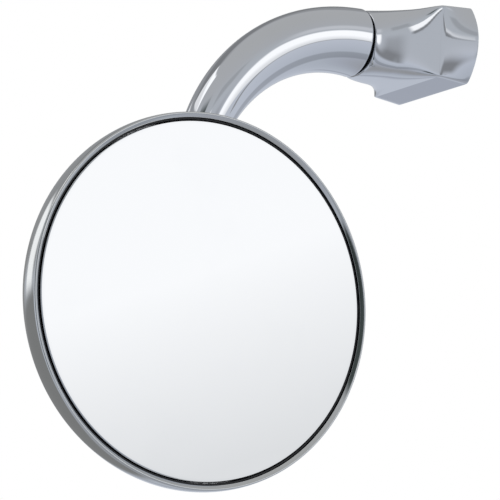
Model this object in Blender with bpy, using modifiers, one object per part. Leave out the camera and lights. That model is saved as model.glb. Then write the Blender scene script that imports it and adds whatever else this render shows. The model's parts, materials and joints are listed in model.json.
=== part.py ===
"""Round clamp-on car side mirror: a 102 mm convex head on a curved arm, held by a door-edge clamp.

Frame, in metres: the origin is the middle of the clamp slot's floor, where the door's edge rests.
+X runs along the clamp's neck towards the door, -Y is the way the glass faces, and +Z is up.
Neck and clamp shapes are given from the joint, where the arm meets the neck. Head shapes are turned
profiles of (radius, depth), where depth is measured back from a plane 0.3 mm behind the front lip.
"""

import math
from dataclasses import dataclass

import bmesh
import bpy
from mathutils import Matrix, Vector

# Assembly
JOINT = Vector((-0.0332, -0.0130, -0.0011))  # where the arm's end meets the neck, on the swing axis
HEAD_FROM_JOINT = Vector((-0.0612, -0.0300, -0.0895))  # centre of the plane that head depths start from
GAP = 0.0003  # clearance between pieces that rest on each other

# Head: shell, glass and what backs it
LIP_R = 0.05067
BEAD_CENTRE = (0.0468, 0.0029)
BEAD_HALF_WIDTH = 0.0042
BEAD_HALF_DEPTH = 0.0082
DOME_DEPTH = 0.0165
SHELL_THICKNESS = 0.0008
SHELL_HOLE_R = 0.0083
GLASS_R = 0.0485
GLASS_THICKNESS = 0.0020
GLASS_FRONT_DEPTH = -0.0006
GLASS_BULGE = 0.0010
GASKET_FRONT, GASKET_BACK = 0.0007, 0.0025
GASKET_R = 0.0498
FOAM_R, FOAM_BACK = 0.0460, 0.0045
PLATE_R, PLATE_FRONT, PLATE_THICKNESS = 0.0489, 0.0048, 0.0010

# Ball joint: everything is centred on the ball
BALL_DEPTH = 0.0145
BALL_R = 0.0055
SEAT_IN_R, SEAT_OUT_R = 0.0058, 0.0066
REAR_SEAT_SPAN = (44.0, 80.0)  # degrees from the axis that points back
FRONT_SEAT_SPAN = (100.0, 150.0)
CUP_IN_R, CUP_OUT_R = 0.0069, 0.0079
CUP_OPENING = 46.0
CUP_FLANGE_R = 0.0170
CUP_SHOULDER_R = 0.0108
CUP_SHOULDER = (0.0138, 0.0150)
SOCKET_FLANGE = (0.0117, 0.0129)
RETAINER_FLANGE = (0.0097, 0.0107)

# Three spring-loaded screws that squeeze the two cups together
TENSION_COUNT = 3
TENSION_CIRCLE_R = 0.0135
TENSION_HOLE_R = 0.0015
TENSION_SHANK_R = 0.00115
TENSION_HEAD_R = 0.0023
TENSION_HEAD = (0.0050, 0.0063)
TENSION_TIP_DEPTH = 0.0146
TENSION_ACCESS_R = 0.0029
NUT_SPAN = (0.0132, 0.0145)
NUT_R, NUT_BORE_R = 0.0022, 0.00145
SPRING_SPAN = (0.0069, 0.0091)
SPRING_R, SPRING_WIRE_R = 0.0018, 0.00025
SPRING_TURNS = 2.5

# Stud between the ball and the arm
STUD_NECK_R = 0.0023
STUD_SHANK_R = 0.0025
HEX_FLAT_R = 0.0040
COLLAR_SPAN = (0.0222, 0.0245)
STUD_END_DEPTH = 0.0402
WASHER_R, WASHER_SPAN = 0.0044, (0.0355, 0.0365)
DOME_NUT_START, DOME_NUT_HEX = 0.0368, 0.0034
DOME_NUT_BORE_DEPTH = 0.0040

# Arm
ARM_BEND_R = 0.0517
ARM_BEND_ANGLE = math.radians(77.6)
ARM_JOINT_R, ARM_RUN_R = 0.0104, 0.0064
ARM_END_ROUNDING = 0.0006
EYE_R, EYE_HALF_WIDTH = 0.0076, 0.0052
STUD_HOLE_R = 0.0028
SPIGOT_R, SPIGOT_END = 0.0056, 0.0146

# Neck of the clamp, along +X from the joint
NECK_START = 0.0010
NECK_R = 0.0099
NECK_TOP = 0.0102
NECK_END = 0.0080
BORE_R, BORE_END = 0.0070, 0.0160
SEAL_SPAN, SEAL_R, SEAL_HOLE_R = (0.00028, 0.00072), 0.0093, 0.0060
BUSH_SPAN = (0.0013, 0.0146)
BUSH_IN_R, BUSH_OUT_R = 0.0059, 0.0067
THRUST_SPAN, THRUST_HOLE_R = (0.0149, 0.0157), 0.0020

# Arm lock: a screw pushes a brass tip into the spigot's groove
LOCK_X = 0.0090
GROOVE_HALF_WIDTH = 0.0017
GROOVE_FLOOR_R = 0.0044
GROOVE_HALF_ANGLE = math.radians(108.0)
TIP_R, TIP_SPAN = 0.0013, (0.0047, 0.0072)
LOCK_SCREW_SPAN = (0.0075, 0.0100)
SCREW_R, SCREW_HOLE_R = 0.0020, 0.0023
SOCKET_FLAT_R, SOCKET_DEPTH = 0.0010, 0.0014

# Outer jaw: the block that the neck flares into
SLAB_START, SLAB_END = 0.0193, 0.0292
SLAB_NEAR_Y, SLAB_FAR_Y = -0.0177, 0.0172
SLAB_TOP, SLAB_BOTTOM = 0.01235, -0.00995
SLAB_FLARE, TOP_FLARE = 0.00063, 0.00098
NEAR_END_BULGE = 0.0046

# Hook that goes round the door's edge
SLOT_END = 0.0372
SLOT_FLOOR_Y = 0.0130
HOOK_END = 0.0427
HOOK_NEAR_Y, HOOK_FAR_Y = 0.0020, 0.0170
HOOK_TOP, HOOK_BOTTOM = 0.0113, -0.0099
HOOK_TIP_BOTTOM = -0.0036
HOOK_ROOT_OVERLAP = 0.0012

# What grips the door
PAD_THICKNESS = 0.0008
PAD_Y, PAD_Z = (-0.0155, 0.0105), (-0.0082, 0.0104)
CLAMP_PLATE_X = (0.0356, 0.0368)
CLAMP_PLATE_Y, CLAMP_PLATE_Z = (0.0034, 0.0107), (-0.0024, 0.0108)
SET_SCREW_Y = 0.0072
SET_SCREW_Z = {"upper_set_screw": 0.0078, "lower_set_screw": 0.0006}
SET_SCREW_SPAN = (0.0371, 0.0449)
DOG_R, DOG_HOLE_R, DOG_START = 0.0010, 0.0013, 0.0359

# Fineness
BIG_STEPS = 48
MEDIUM_STEPS = 24
SMALL_STEPS = 12

FACE_BACK = (math.radians(-90.0), 0.0, 0.0)  # turns a piece's own Z to the depth direction, +Y
ALONG_NECK = (0.0, math.radians(90.0), 0.0)  # turns a piece's own Z to +X


@dataclass(frozen=True)
class Place:
    """Where a piece sits: the empty it hangs from, its offset from it, and its rotation."""

    parent: bpy.types.Object
    offset: tuple = (0.0, 0.0, 0.0)
    turn: tuple = (0.0, 0.0, 0.0)


def clear_scene():
    """Remove every object that is already in the file."""
    for obj in list(bpy.data.objects):
        bpy.data.objects.remove(obj, do_unlink=True)


def make_collection(name):
    """Make a collection in the scene."""
    collection = bpy.data.collections.new(name)
    bpy.context.scene.collection.children.link(collection)
    return collection


def make_material(name, colour, roughness, metallic):
    """Make a plain Principled material."""
    material = bpy.data.materials.new(name)
    material.use_nodes = True
    shader = material.node_tree.nodes["Principled BSDF"]
    shader.inputs["Base Color"].default_value = (*colour, 1.0)
    shader.inputs["Roughness"].default_value = roughness
    shader.inputs["Metallic"].default_value = metallic
    return material


def make_empty(name, parent, offset):
    """Make an empty on a joint's axis, for moving pieces to hang from."""
    empty = bpy.data.objects.new(name, None)
    PARTS.objects.link(empty)
    empty.parent = parent
    empty.location = offset
    return empty


def add_piece(name, mesh, place, material=None):
    """Put a mesh in the scene as a named piece, or as a cutter when it has no material."""
    obj = bpy.data.objects.new(name, mesh)
    obj.parent = place.parent
    obj.location = place.offset
    obj.rotation_euler = place.turn
    if material:
        if not mesh.materials:
            mesh.materials.append(material)
        PARTS.objects.link(obj)
    else:
        obj.hide_render = True
        obj.display_type = "WIRE"
        CUTTERS.objects.link(obj)
    return obj


def combine(obj, other, operation):
    """Join another shape to a piece, or cut it away."""
    modifier = obj.modifiers.new(f"{operation.lower()} {other.name}", "BOOLEAN")
    modifier.operation = operation
    modifier.solver = "EXACT"
    modifier.object = other


def evaluated_mesh(obj):
    """The mesh that an object's curve or modifiers give, with coincident points welded."""
    bpy.context.view_layer.update()
    graph = bpy.context.evaluated_depsgraph_get()
    mesh = bpy.data.meshes.new_from_object(obj.evaluated_get(graph))
    shape = bmesh.new()
    shape.from_mesh(mesh)
    bmesh.ops.remove_doubles(shape, verts=shape.verts, dist=0.00001)
    shape.to_mesh(mesh)
    shape.free()
    return mesh


def cylinder_mesh(name, radius, start, end, sides=MEDIUM_STEPS):
    """A cylinder about its own Z, between two heights. Six sides make a hexagon."""
    shape = bmesh.new()
    bmesh.ops.create_cone(
        shape, cap_ends=True, segments=sides, radius1=radius, radius2=radius, depth=end - start
    )
    bmesh.ops.translate(shape, verts=shape.verts, vec=(0.0, 0.0, (start + end) / 2))
    mesh = bpy.data.meshes.new(name)
    shape.to_mesh(mesh)
    shape.free()
    return mesh


def cylinder(name, radius, span, place, material=None, sides=MEDIUM_STEPS):
    """A cylinder as a piece or a cutter."""
    return add_piece(name, cylinder_mesh(name, radius, *span, sides), place, material)


def box(name, x_span, y_span, z_span, place, material=None):
    """A box between three pairs of coordinates, measured from the place's offset."""
    spans = (x_span, y_span, z_span)
    size = [high - low for low, high in spans]
    middle = [(high + low) / 2 for low, high in spans]
    shape = bmesh.new()
    bmesh.ops.create_cube(shape, size=1.0)
    bmesh.ops.scale(shape, verts=shape.verts, vec=size)
    bmesh.ops.translate(shape, verts=shape.verts, vec=middle)
    mesh = bpy.data.meshes.new(name)
    shape.to_mesh(mesh)
    shape.free()
    return add_piece(name, mesh, place, material)


def turned(name, profile, place, material=None, steps=MEDIUM_STEPS, closed=True):
    """A profile of (radius, height) points, spun about its own Z.

    A closed profile goes round a ring. An open one starts and ends on the axis, or is a thin skin,
    and runs down the outer side.
    """
    points = list(profile)
    if closed:
        pairs = zip(points, points[1:] + points[:1])
        if sum(a[0] * b[1] - b[0] * a[1] for a, b in pairs) > 0:
            points.reverse()
    mesh = bpy.data.meshes.new(name)
    edges = [(i, i + 1) for i in range(len(points) - 1)]
    if closed:
        edges.append((len(points) - 1, 0))
    mesh.from_pydata([(r, 0.0, h) for r, h in points], edges, [])
    obj = add_piece(name, mesh, place, material)
    screw = obj.modifiers.new("spin", "SCREW")
    screw.steps = screw.render_steps = steps
    screw.use_merge_vertices = True
    screw.merge_threshold = 0.00001
    screw.use_smooth_shade = True
    return obj


def ring(name, inner, outer, span, place, material, steps=MEDIUM_STEPS):
    """A flat ring or sleeve."""
    low, high = span
    profile = [(inner, low), (outer, low), (outer, high), (inner, high)]
    return turned(name, profile, place, material, steps)


def ball_arc(radius, start, end, count=4):
    """Points on a circle about the ball's centre, by degrees from the axis that points back."""
    angles = [math.radians(start + (end - start) * i / count) for i in range(count + 1)]
    return [(radius * math.sin(a), BALL_DEPTH + radius * math.cos(a)) for a in angles]


def dish_arc(edge_r, edge_depth, centre_depth, count, inner_r=0.0):
    """Points from the middle of a shallow dish out to its edge."""
    sag = abs(centre_depth - edge_depth)
    bend_r = (edge_r**2 + sag**2) / (2 * sag)
    side = 1.0 if edge_depth > centre_depth else -1.0
    radii = [inner_r + (edge_r - inner_r) * i / count for i in range(count + 1)]
    return [(r, centre_depth + side * (bend_r - math.sqrt(bend_r**2 - r**2))) for r in radii]


def circle_places(place):
    """The three places on the tension screws' circle."""
    for i in range(TENSION_COUNT):
        angle = 2 * math.pi * i / TENSION_COUNT
        centre = Matrix.Rotation(angle, 3, "Z") @ Vector((TENSION_CIRCLE_R, 0.0, 0.0))
        offset = Vector(place.offset) + Matrix.Rotation(FACE_BACK[0], 3, "X") @ centre
        yield Place(place.parent, tuple(offset), place.turn)


def bored_round_axis(obj, radius, span, place):
    """Cut the tension screws' three holes through a flange."""
    for number, spot in enumerate(circle_places(place), 1):
        cutter = cylinder(f"{obj.name} hole {number}", radius, span, spot, sides=SMALL_STEPS)
        combine(obj, cutter, "DIFFERENCE")


def copies_round_axis(name, shape, place, material):
    """Three numbered pieces on the circle that share one hidden shape's finished mesh."""
    mesh = evaluated_mesh(shape)
    bpy.data.objects.remove(shape, do_unlink=True)
    for number, spot in enumerate(circle_places(place), 1):
        add_piece(f"{name}_{number}", mesh, spot, material)


# ---- head ----


def shell_outline():
    """Outer side of the shell, from the hole at the back out to the front lip."""
    centre_r, centre_depth = BEAD_CENTRE
    lip_angle = -math.acos((LIP_R - centre_r) / BEAD_HALF_WIDTH)
    back_angle = math.radians(58.0)
    bead_count = 6
    bead = []
    for i in range(bead_count + 1):
        angle = back_angle + (lip_angle - back_angle) * i / bead_count
        bead.append(
            (
                centre_r + BEAD_HALF_WIDTH * math.cos(angle),
                centre_depth + BEAD_HALF_DEPTH * math.sin(angle),
            )
        )
    dome = dish_arc(*bead[0], DOME_DEPTH, 4, SHELL_HOLE_R)
    return dome + bead[1:]


def make_back_shell(place, finish):
    """Pressed shell: a shallow dome with a rolled bead round the glass."""
    shell = turned("back_shell", shell_outline(), place, finish, BIG_STEPS, closed=False)
    wall = shell.modifiers.new("wall", "SOLIDIFY")
    wall.thickness = SHELL_THICKNESS
    wall.offset = -1.0
    wall.use_even_offset = True


def make_glass_and_backing(place, finishes):
    """Convex mirror glass, its rubber edging, the foam behind it and the plate that backs it."""
    edge_front = GLASS_FRONT_DEPTH + GLASS_BULGE
    front = dish_arc(GLASS_R, edge_front, GLASS_FRONT_DEPTH, 3)
    back = [(r, depth + GLASS_THICKNESS) for r, depth in front]
    turned("mirror_glass", back + front[::-1], place, finishes["glass"], BIG_STEPS, closed=False)

    inner = GLASS_R + GAP
    gasket = [
        (inner, GASKET_FRONT),
        (inner + 0.0003, GASKET_FRONT),
        (GASKET_R, GASKET_FRONT + 0.0005),
        (GASKET_R, GASKET_BACK),
        (inner, GASKET_BACK),
    ]
    turned("glass_gasket", gasket, place, finishes["rubber"], BIG_STEPS)

    hollow = [(r, depth + GAP) for r, depth in back if r < FOAM_R]
    foam = [(0.0, FOAM_BACK), (FOAM_R, FOAM_BACK), (FOAM_R, hollow[-1][1] + GAP)] + hollow[::-1]
    turned("foam_pad", foam, place, finishes["foam"], BIG_STEPS, closed=False)

    span = (PLATE_FRONT, PLATE_FRONT + PLATE_THICKNESS)
    plate = cylinder("support_plate", PLATE_R, span, place, finishes["steel"], BIG_STEPS)
    bored_round_axis(plate, TENSION_ACCESS_R, (span[0] - 0.001, span[1] + 0.001), place)


def make_ball_cups(place, finishes):
    """The socket welded inside the shell, and the sprung cup that closes it round the ball."""
    shoulder_front, shoulder_back = CUP_SHOULDER
    flange_front, flange_back = SOCKET_FLANGE
    socket = ball_arc(CUP_OUT_R, CUP_OPENING, 86.0)
    socket += [
        (CUP_SHOULDER_R, shoulder_back),
        (CUP_SHOULDER_R, shoulder_front),
        (CUP_OUT_R, shoulder_front),
        (CUP_OUT_R, flange_back),
        (CUP_FLANGE_R, flange_back),
        (CUP_FLANGE_R, flange_front),
        (CUP_IN_R, flange_front),
    ]
    socket += ball_arc(CUP_IN_R, 90.0, CUP_OPENING)
    cup = turned("socket_cup", socket, place, finishes["steel"])
    bored_round_axis(cup, TENSION_HOLE_R, (flange_front - 0.001, flange_back + 0.0005), place)

    flange_front, flange_back = RETAINER_FLANGE
    retainer = ball_arc(CUP_IN_R, 117.0, 150.0) + ball_arc(CUP_OUT_R, 150.0, 127.4)
    retainer += [
        (CUP_FLANGE_R, flange_front),
        (CUP_FLANGE_R, flange_back),
        (CUP_IN_R + GAP, flange_back),
    ]
    cup = turned("retainer_cup", retainer, place, finishes["steel"])
    bored_round_axis(cup, TENSION_HOLE_R, (flange_front - 0.001, flange_back + 0.001), place)


def make_seat(name, span, place, finish):
    """A nylon zone of a sphere that lines one side of the ball."""
    start, end = span
    profile = ball_arc(SEAT_OUT_R, start, end) + ball_arc(SEAT_IN_R, end, start)
    turned(name, profile, place, finish)


def make_tension_fasteners(place, finishes):
    """Three screws with springs under their heads, and the nuts behind the socket's flange."""
    loose = Place(place.parent)
    head_front, head_back = TENSION_HEAD
    screw = [
        (0.0, TENSION_TIP_DEPTH),
        (TENSION_SHANK_R, TENSION_TIP_DEPTH),
        (TENSION_SHANK_R, head_back),
        (TENSION_HEAD_R, head_back),
        (TENSION_HEAD_R, head_front),
        (0.0, head_front),
    ]
    shape = turned("tension screw shape", screw, loose, steps=SMALL_STEPS, closed=False)
    copies_round_axis("tension_screw", shape, place, finishes["steel"])

    nut = cylinder("tension nut shape", NUT_R, NUT_SPAN, loose, sides=6)
    bore_span = (NUT_SPAN[0] - 0.001, NUT_SPAN[1] + 0.001)
    bore = cylinder("tension nut bore", NUT_BORE_R, bore_span, loose, sides=SMALL_STEPS)
    combine(nut, bore, "DIFFERENCE")
    copies_round_axis("tension_nut", nut, place, finishes["steel"])

    points = spring_points()
    coil = make_tube("tension spring shape", points, [SPRING_WIRE_R] * len(points), 0)
    copies_round_axis("tension_spring", coil, place, finishes["steel"])


def spring_points():
    """Points along one tension spring's helix."""
    count = 22
    low, high = SPRING_SPAN
    points = []
    for i in range(count + 1):
        angle = 2 * math.pi * SPRING_TURNS * i / count
        height = low + (high - low) * i / count
        points.append((SPRING_R * math.cos(angle), SPRING_R * math.sin(angle), height))
    return points


def make_tube(name, points, radii, resolution):
    """A round bar along a path, with its own radius at each point, as a capped mesh cutter."""
    curve = bpy.data.curves.new(name, "CURVE")
    curve.dimensions = "3D"
    curve.bevel_depth = radii[0]
    curve.bevel_resolution = resolution
    curve.use_fill_caps = True
    spline = curve.splines.new("POLY")
    spline.points.add(len(points) - 1)
    for point, place, radius in zip(spline.points, points, radii):
        point.co = (*place, 1.0)
        point.radius = radius / radii[0]
    guide = bpy.data.objects.new(name, curve)
    CUTTERS.objects.link(guide)
    mesh = evaluated_mesh(guide)
    bpy.data.objects.remove(guide, do_unlink=True)
    return add_piece(name, mesh, Place(None))


# ---- arm ----


def make_ball_stud(place, finish):
    """Ball, neck, hexagonal collar and threaded shank in one piece."""
    collar_front, collar_back = COLLAR_SPAN
    neck_angle = math.degrees(math.asin(STUD_NECK_R / BALL_R))
    profile = [
        (0.0, STUD_END_DEPTH),
        (STUD_SHANK_R, STUD_END_DEPTH),
        (STUD_SHANK_R, collar_front + 0.001),
        (STUD_NECK_R, collar_front + 0.001),
    ]
    ball = ball_arc(BALL_R, neck_angle, 180.0, 8)
    profile += ball[:-1] + [(0.0, BALL_DEPTH - BALL_R)]
    stud = turned("ball_stud", profile, place, finish, closed=False)
    corner_r = HEX_FLAT_R / math.cos(math.pi / 6)
    collar = cylinder("stud collar", corner_r, (collar_front, collar_back), place, sides=6)
    combine(stud, collar, "UNION")


def make_stud_fasteners(place, finishes):
    """The washer and dome nut that hold the stud behind the arm."""
    ring("stud_washer", STUD_HOLE_R, WASHER_R, WASHER_SPAN, place, finishes["steel"])
    start, hex_end = DOME_NUT_START, DOME_NUT_START + DOME_NUT_HEX
    corner_r = HEX_FLAT_R / math.cos(math.pi / 6)
    nut = cylinder("dome_nut", corner_r, (start, hex_end), place, finishes["chrome"], sides=6)
    dome_r = HEX_FLAT_R - 0.0002
    dome = [(0.0, hex_end + dome_r)]
    for i in range(1, 7):
        angle = math.radians(15.0 * i)
        dome.append((dome_r * math.sin(angle), hex_end + dome_r * math.cos(angle)))
    dome += [(dome_r, start + 0.001), (0.0, start + 0.001)]
    combine(nut, turned("nut dome", dome, place, closed=False), "UNION")
    bore_span = (start - 0.001, start + DOME_NUT_BORE_DEPTH)
    bore = cylinder("nut bore", STUD_HOLE_R, bore_span, place, sides=SMALL_STEPS)
    combine(nut, bore, "DIFFERENCE")


def arm_path():
    """Centre line of the arm and its radius, from the joint round the bend to the stud's eye."""
    bend_count = 16
    points, radii = [], []
    for i in range(bend_count + 1):
        share = i / bend_count
        angle = ARM_BEND_ANGLE * share
        x = -ARM_BEND_R * math.sin(angle)
        z = -ARM_BEND_R * (1.0 - math.cos(angle))
        points.append((x, 0.0, z))
        radii.append(ARM_JOINT_R + (ARM_RUN_R - ARM_JOINT_R) * share)
    points.append((HEAD_FROM_JOINT.x, 0.0, HEAD_FROM_JOINT.z))
    radii.append(ARM_RUN_R)
    # a small rounding on the end that meets the neck
    points.insert(1, (-ARM_END_ROUNDING, 0.0, 0.0))
    radii.insert(1, ARM_JOINT_R)
    radii[0] = ARM_JOINT_R - ARM_END_ROUNDING / 2
    return points, radii


def stop_groove(place):
    """The groove's cutter: a ring round the spigot, less the sector that the lock tip can't enter."""
    span = (LOCK_X - GROOVE_HALF_WIDTH, LOCK_X + GROOVE_HALF_WIDTH)
    groove = ring("lock groove", GROOVE_FLOOR_R, SPIGOT_R + 0.001, span, place, None)
    reach = 0.020
    side = reach * math.sin(math.pi - GROOVE_HALF_ANGLE)
    back = reach * math.cos(math.pi - GROOVE_HALF_ANGLE)
    stop = bpy.data.meshes.new("swing stop")
    corners = [(0.0, 0.0), (-side, -back), (side, -back)]
    low, high = span[0] - 0.001, span[1] + 0.001
    vertices = [(x, y, low) for x, y in corners] + [(x, y, high) for x, y in corners]
    faces = [(0, 2, 1), (3, 4, 5), (0, 1, 4, 3), (1, 2, 5, 4), (2, 0, 3, 5)]
    stop.from_pydata(vertices, [], faces)
    combine(groove, add_piece("swing stop", stop, place), "DIFFERENCE")
    return groove


def make_arm(pivot, finish):
    """Tapered bent arm with a spigot that turns in the neck and an eye for the ball stud."""
    points, radii = arm_path()
    blank = make_tube("arm blank", points, radii, 8)
    mesh = blank.data
    bpy.data.objects.remove(blank, do_unlink=True)
    arm = add_piece("arm", mesh, Place(pivot), finish)
    eye_place = Place(pivot, (HEAD_FROM_JOINT.x, 0.0, HEAD_FROM_JOINT.z), FACE_BACK)
    neck_place = Place(pivot, turn=ALONG_NECK)
    beyond = 0.010
    eye_span = (-EYE_HALF_WIDTH, EYE_HALF_WIDTH)
    combine(arm, cylinder("arm eye", EYE_R, eye_span, eye_place), "UNION")
    combine(arm, cylinder("spigot", SPIGOT_R, (-0.003, SPIGOT_END), neck_place), "UNION")
    spot_r = EYE_R + 0.0002
    for label, span in (("front", (-beyond, -EYE_HALF_WIDTH)), ("back", (EYE_HALF_WIDTH, beyond))):
        combine(arm, cylinder(f"{label} spot face", spot_r, span, eye_place), "DIFFERENCE")
    hole = cylinder("stud hole", STUD_HOLE_R, (-beyond, beyond), eye_place, sides=SMALL_STEPS)
    combine(arm, hole, "DIFFERENCE")
    combine(arm, stop_groove(neck_place), "DIFFERENCE")


# ---- clamp ----


def clamp_section(x, near, far, bottom, top, low_power, high_power, bulge=0.0):
    """One closed cross-section of the clamp's body, square to the neck.

    The powers set how square the lower and upper halves are: 2 is an ellipse, and None is a
    rectangle. The bulge swells the near end outwards.
    """
    count = 48
    half, middle = (far - near) / 2, (far + near) / 2
    points = []
    for i in range(count):
        angle = 2 * math.pi * i / count
        across, up = math.cos(angle), math.sin(angle)
        power = high_power if up >= 0 else low_power
        if power is None:
            reach = 1.0 / max(abs(across), abs(up))
        else:
            reach = (abs(across) ** power + abs(up) ** power) ** (-1.0 / power)
        y = middle + half * across * reach
        z = (top if up >= 0 else -bottom) * up * reach
        if bulge and across < 0 and abs(across) > abs(up) - 1e-6:
            centre, half_height = (top + bottom) / 2, (top - bottom) / 2
            y -= bulge * max(0.0, 1.0 - ((z - centre) / half_height) ** 2)
        points.append(Vector((x, y, z)))
    return points


def upper_side(x):
    """Height of the body's top and how square its upper half is, which grow from the joint on."""
    share = (x - NECK_START) / (SLAB_START - NECK_START)
    return NECK_TOP + (SLAB_TOP - NECK_TOP) * share**0.8, 2.0 + 2.0 * share + 6.0 * share**4


def near_side(x):
    """Where the body's near side is along Y: the flare begins at the joint."""
    share = (x - NECK_START) / (SLAB_START - NECK_START)
    return -NECK_R + (SLAB_NEAR_Y + NECK_R) * share**1.7


def clamp_sections():
    """Cross-sections from the round neck, through the flare, to the slab's base."""
    sections = []
    for x, low_power in ((NECK_START, 2.0), (NECK_START + 0.002, 3.5), (NECK_END, 5.0)):
        top, high_power = upper_side(x)
        near = near_side(x)
        sections.append(clamp_section(x, near, NECK_R, -NECK_R, top, low_power, high_power))
    flare_count = 7
    for i in range(1, flare_count + 1):
        share = i / flare_count
        x = NECK_END + (SLAB_START - NECK_END) * share
        far = NECK_R + (SLAB_FAR_Y - NECK_R) * share**2.5
        bottom = -NECK_R + (SLAB_BOTTOM + NECK_R) * share
        low_power = 5.0 + 12.0 * share**3
        top, high_power = upper_side(x)
        if i == flare_count:
            low_power = high_power = None
        sections.append(
            clamp_section(x, near_side(x), far, bottom, top, low_power, high_power)
        )
    slab_count = 3
    for i in range(1, slab_count + 1):
        share = i / slab_count
        x = SLAB_START + (SLAB_END - SLAB_START) * share
        grow = SLAB_FLARE * share
        near, far = SLAB_NEAR_Y - grow, SLAB_FAR_Y + grow
        bottom, top = SLAB_BOTTOM - grow, SLAB_TOP + TOP_FLARE * share
        bulge = NEAR_END_BULGE * share
        sections.append(clamp_section(x, near, far, bottom, top, None, None, bulge))
    return sections


def loft_mesh(name, sections):
    """Faces between cross-sections that have the same number of points, with both ends closed."""
    shape = bmesh.new()
    loops = [[shape.verts.new(point) for point in section] for section in sections]
    for loop, following in zip(loops, loops[1:]):
        for i, vert in enumerate(loop):
            after = (i + 1) % len(loop)
            shape.faces.new((vert, loop[after], following[after], following[i]))
    shape.faces.new(loops[0][::-1])
    shape.faces.new(loops[-1])
    bmesh.ops.recalc_face_normals(shape, faces=shape.faces)
    mesh = bpy.data.meshes.new(name)
    shape.to_mesh(mesh)
    shape.free()
    return mesh


def make_hook(place):
    """The web and inner jaw that reach round the door's edge, as a shape to join to the body."""
    outline = [
        (SLAB_END - HOOK_ROOT_OVERLAP, HOOK_BOTTOM),
        (SLAB_END, HOOK_BOTTOM),
        (HOOK_END, HOOK_TIP_BOTTOM),
        (HOOK_END, HOOK_TOP),
        (SLAB_END - HOOK_ROOT_OVERLAP, HOOK_TOP),
    ]
    near = [Vector((x, HOOK_NEAR_Y, z)) for x, z in outline]
    far = [Vector((x, HOOK_FAR_Y, z)) for x, z in outline]
    hook = add_piece("hook", loft_mesh("hook", [near, far]), place)
    slot_x = (SLAB_END - 2 * HOOK_ROOT_OVERLAP, SLOT_END)
    slot = box("door slot", slot_x, (-0.010, SLOT_FLOOR_Y), (-0.030, 0.030), place)
    combine(hook, slot, "DIFFERENCE")
    return hook


def make_clamp_body(place, pivot, finish):
    """Die-cast body: neck, flare, outer jaw and hook, bored for the arm and drilled for screws."""
    body = add_piece("clamp_body", loft_mesh("clamp_body", clamp_sections()), place, finish)
    combine(body, make_hook(place), "UNION")
    along = Place(pivot, turn=ALONG_NECK)
    bore = cylinder("arm bore", BORE_R, (NECK_START - 0.001, BORE_END), along)
    combine(body, bore, "DIFFERENCE")
    lock_place = Place(pivot, (LOCK_X, 0.0, 0.0), FACE_BACK)
    lock_hole = cylinder("lock hole", SCREW_HOLE_R, (0.005, 0.014), lock_place, sides=SMALL_STEPS)
    combine(body, lock_hole, "DIFFERENCE")
    for name, z in SET_SCREW_Z.items():
        screw_place = Place(pivot, (0.0, SET_SCREW_Y, z), ALONG_NECK)
        span = (SLOT_END - 0.002, HOOK_END + 0.002)
        hole = cylinder(f"{name} hole", SCREW_HOLE_R, span, screw_place, sides=SMALL_STEPS)
        combine(body, hole, "DIFFERENCE")


def make_neck_fittings(pivot, finishes):
    """What the arm's spigot turns in: a sleeve, a thrust washer and a seal in the joint's gap."""
    along = Place(pivot, turn=ALONG_NECK)
    bush = ring("arm_bush", BUSH_IN_R, BUSH_OUT_R, BUSH_SPAN, along, finishes["nylon"])
    lock_place = Place(pivot, (LOCK_X, 0.0, 0.0), FACE_BACK)
    window = cylinder("bush window", TIP_R + GAP, (0.003, 0.009), lock_place, sides=SMALL_STEPS)
    combine(bush, window, "DIFFERENCE")
    washer_r = BORE_R - GAP
    ring("thrust_washer", THRUST_HOLE_R, washer_r, THRUST_SPAN, along, finishes["steel"])
    ring("neck_seal", SEAL_HOLE_R, SEAL_R, SEAL_SPAN, along, finishes["rubber"])


def make_set_screw(name, span, place, finish, dog=None):
    """A headless screw with a hexagon socket in its far end and, for the clamp, a dog point."""
    start, end = span
    profile = [(0.0, end), (SCREW_R, end), (SCREW_R, start)]
    if dog is None:
        profile.append((0.0, start))
    else:
        profile += [(DOG_R, start), (DOG_R, dog), (0.0, dog)]
    screw = turned(name, profile, place, finish, SMALL_STEPS, closed=False)
    corner_r = SOCKET_FLAT_R / math.cos(math.pi / 6)
    socket = cylinder(f"{name} socket", corner_r, (end - SOCKET_DEPTH, end + 0.001), place, sides=6)
    combine(screw, socket, "DIFFERENCE")


def make_door_grip(root, slide, finishes):
    """Pad on the outer jaw, the sliding plate inside the slot, and the screws that push it."""
    pad_x = (SLAB_END + GAP, SLAB_END + GAP + PAD_THICKNESS)
    box("door_pad", pad_x, PAD_Y, PAD_Z, Place(root), finishes["rubber"])
    plate = box(
        "clamp_plate",
        CLAMP_PLATE_X,
        CLAMP_PLATE_Y,
        CLAMP_PLATE_Z,
        Place(slide),
        finishes["steel"],
    )
    for name, z in SET_SCREW_Z.items():
        axis = make_empty(f"{name} axis", slide, (0.0, SET_SCREW_Y, z))
        along = Place(axis, turn=ALONG_NECK)
        span = (CLAMP_PLATE_X[0] - 0.001, CLAMP_PLATE_X[1] + 0.001)
        hole = cylinder(f"{name} dog hole", DOG_HOLE_R, span, along, sides=SMALL_STEPS)
        combine(plate, hole, "DIFFERENCE")
        make_set_screw(name, SET_SCREW_SPAN, along, finishes["black_steel"], DOG_START)


def make_arm_lock(root, finishes):
    """Brass tip that stops the arm turning, and the screw that presses it in."""
    axis = make_empty("lock axis", root, (LOCK_X, 0.0, 0.0))
    place = Place(axis, turn=FACE_BACK)
    cylinder("lock_tip", TIP_R, TIP_SPAN, place, finishes["brass"], SMALL_STEPS)
    make_set_screw("lock_screw", LOCK_SCREW_SPAN, place, finishes["black_steel"])


def shade_round_pieces():
    """Smooth the curved faces and keep the edges crisp."""
    for obj in PARTS.objects:
        if obj.type == "MESH":
            obj.data.shade_smooth()
            obj.data.set_sharp_from_angle(angle=math.radians(35.0))


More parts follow.
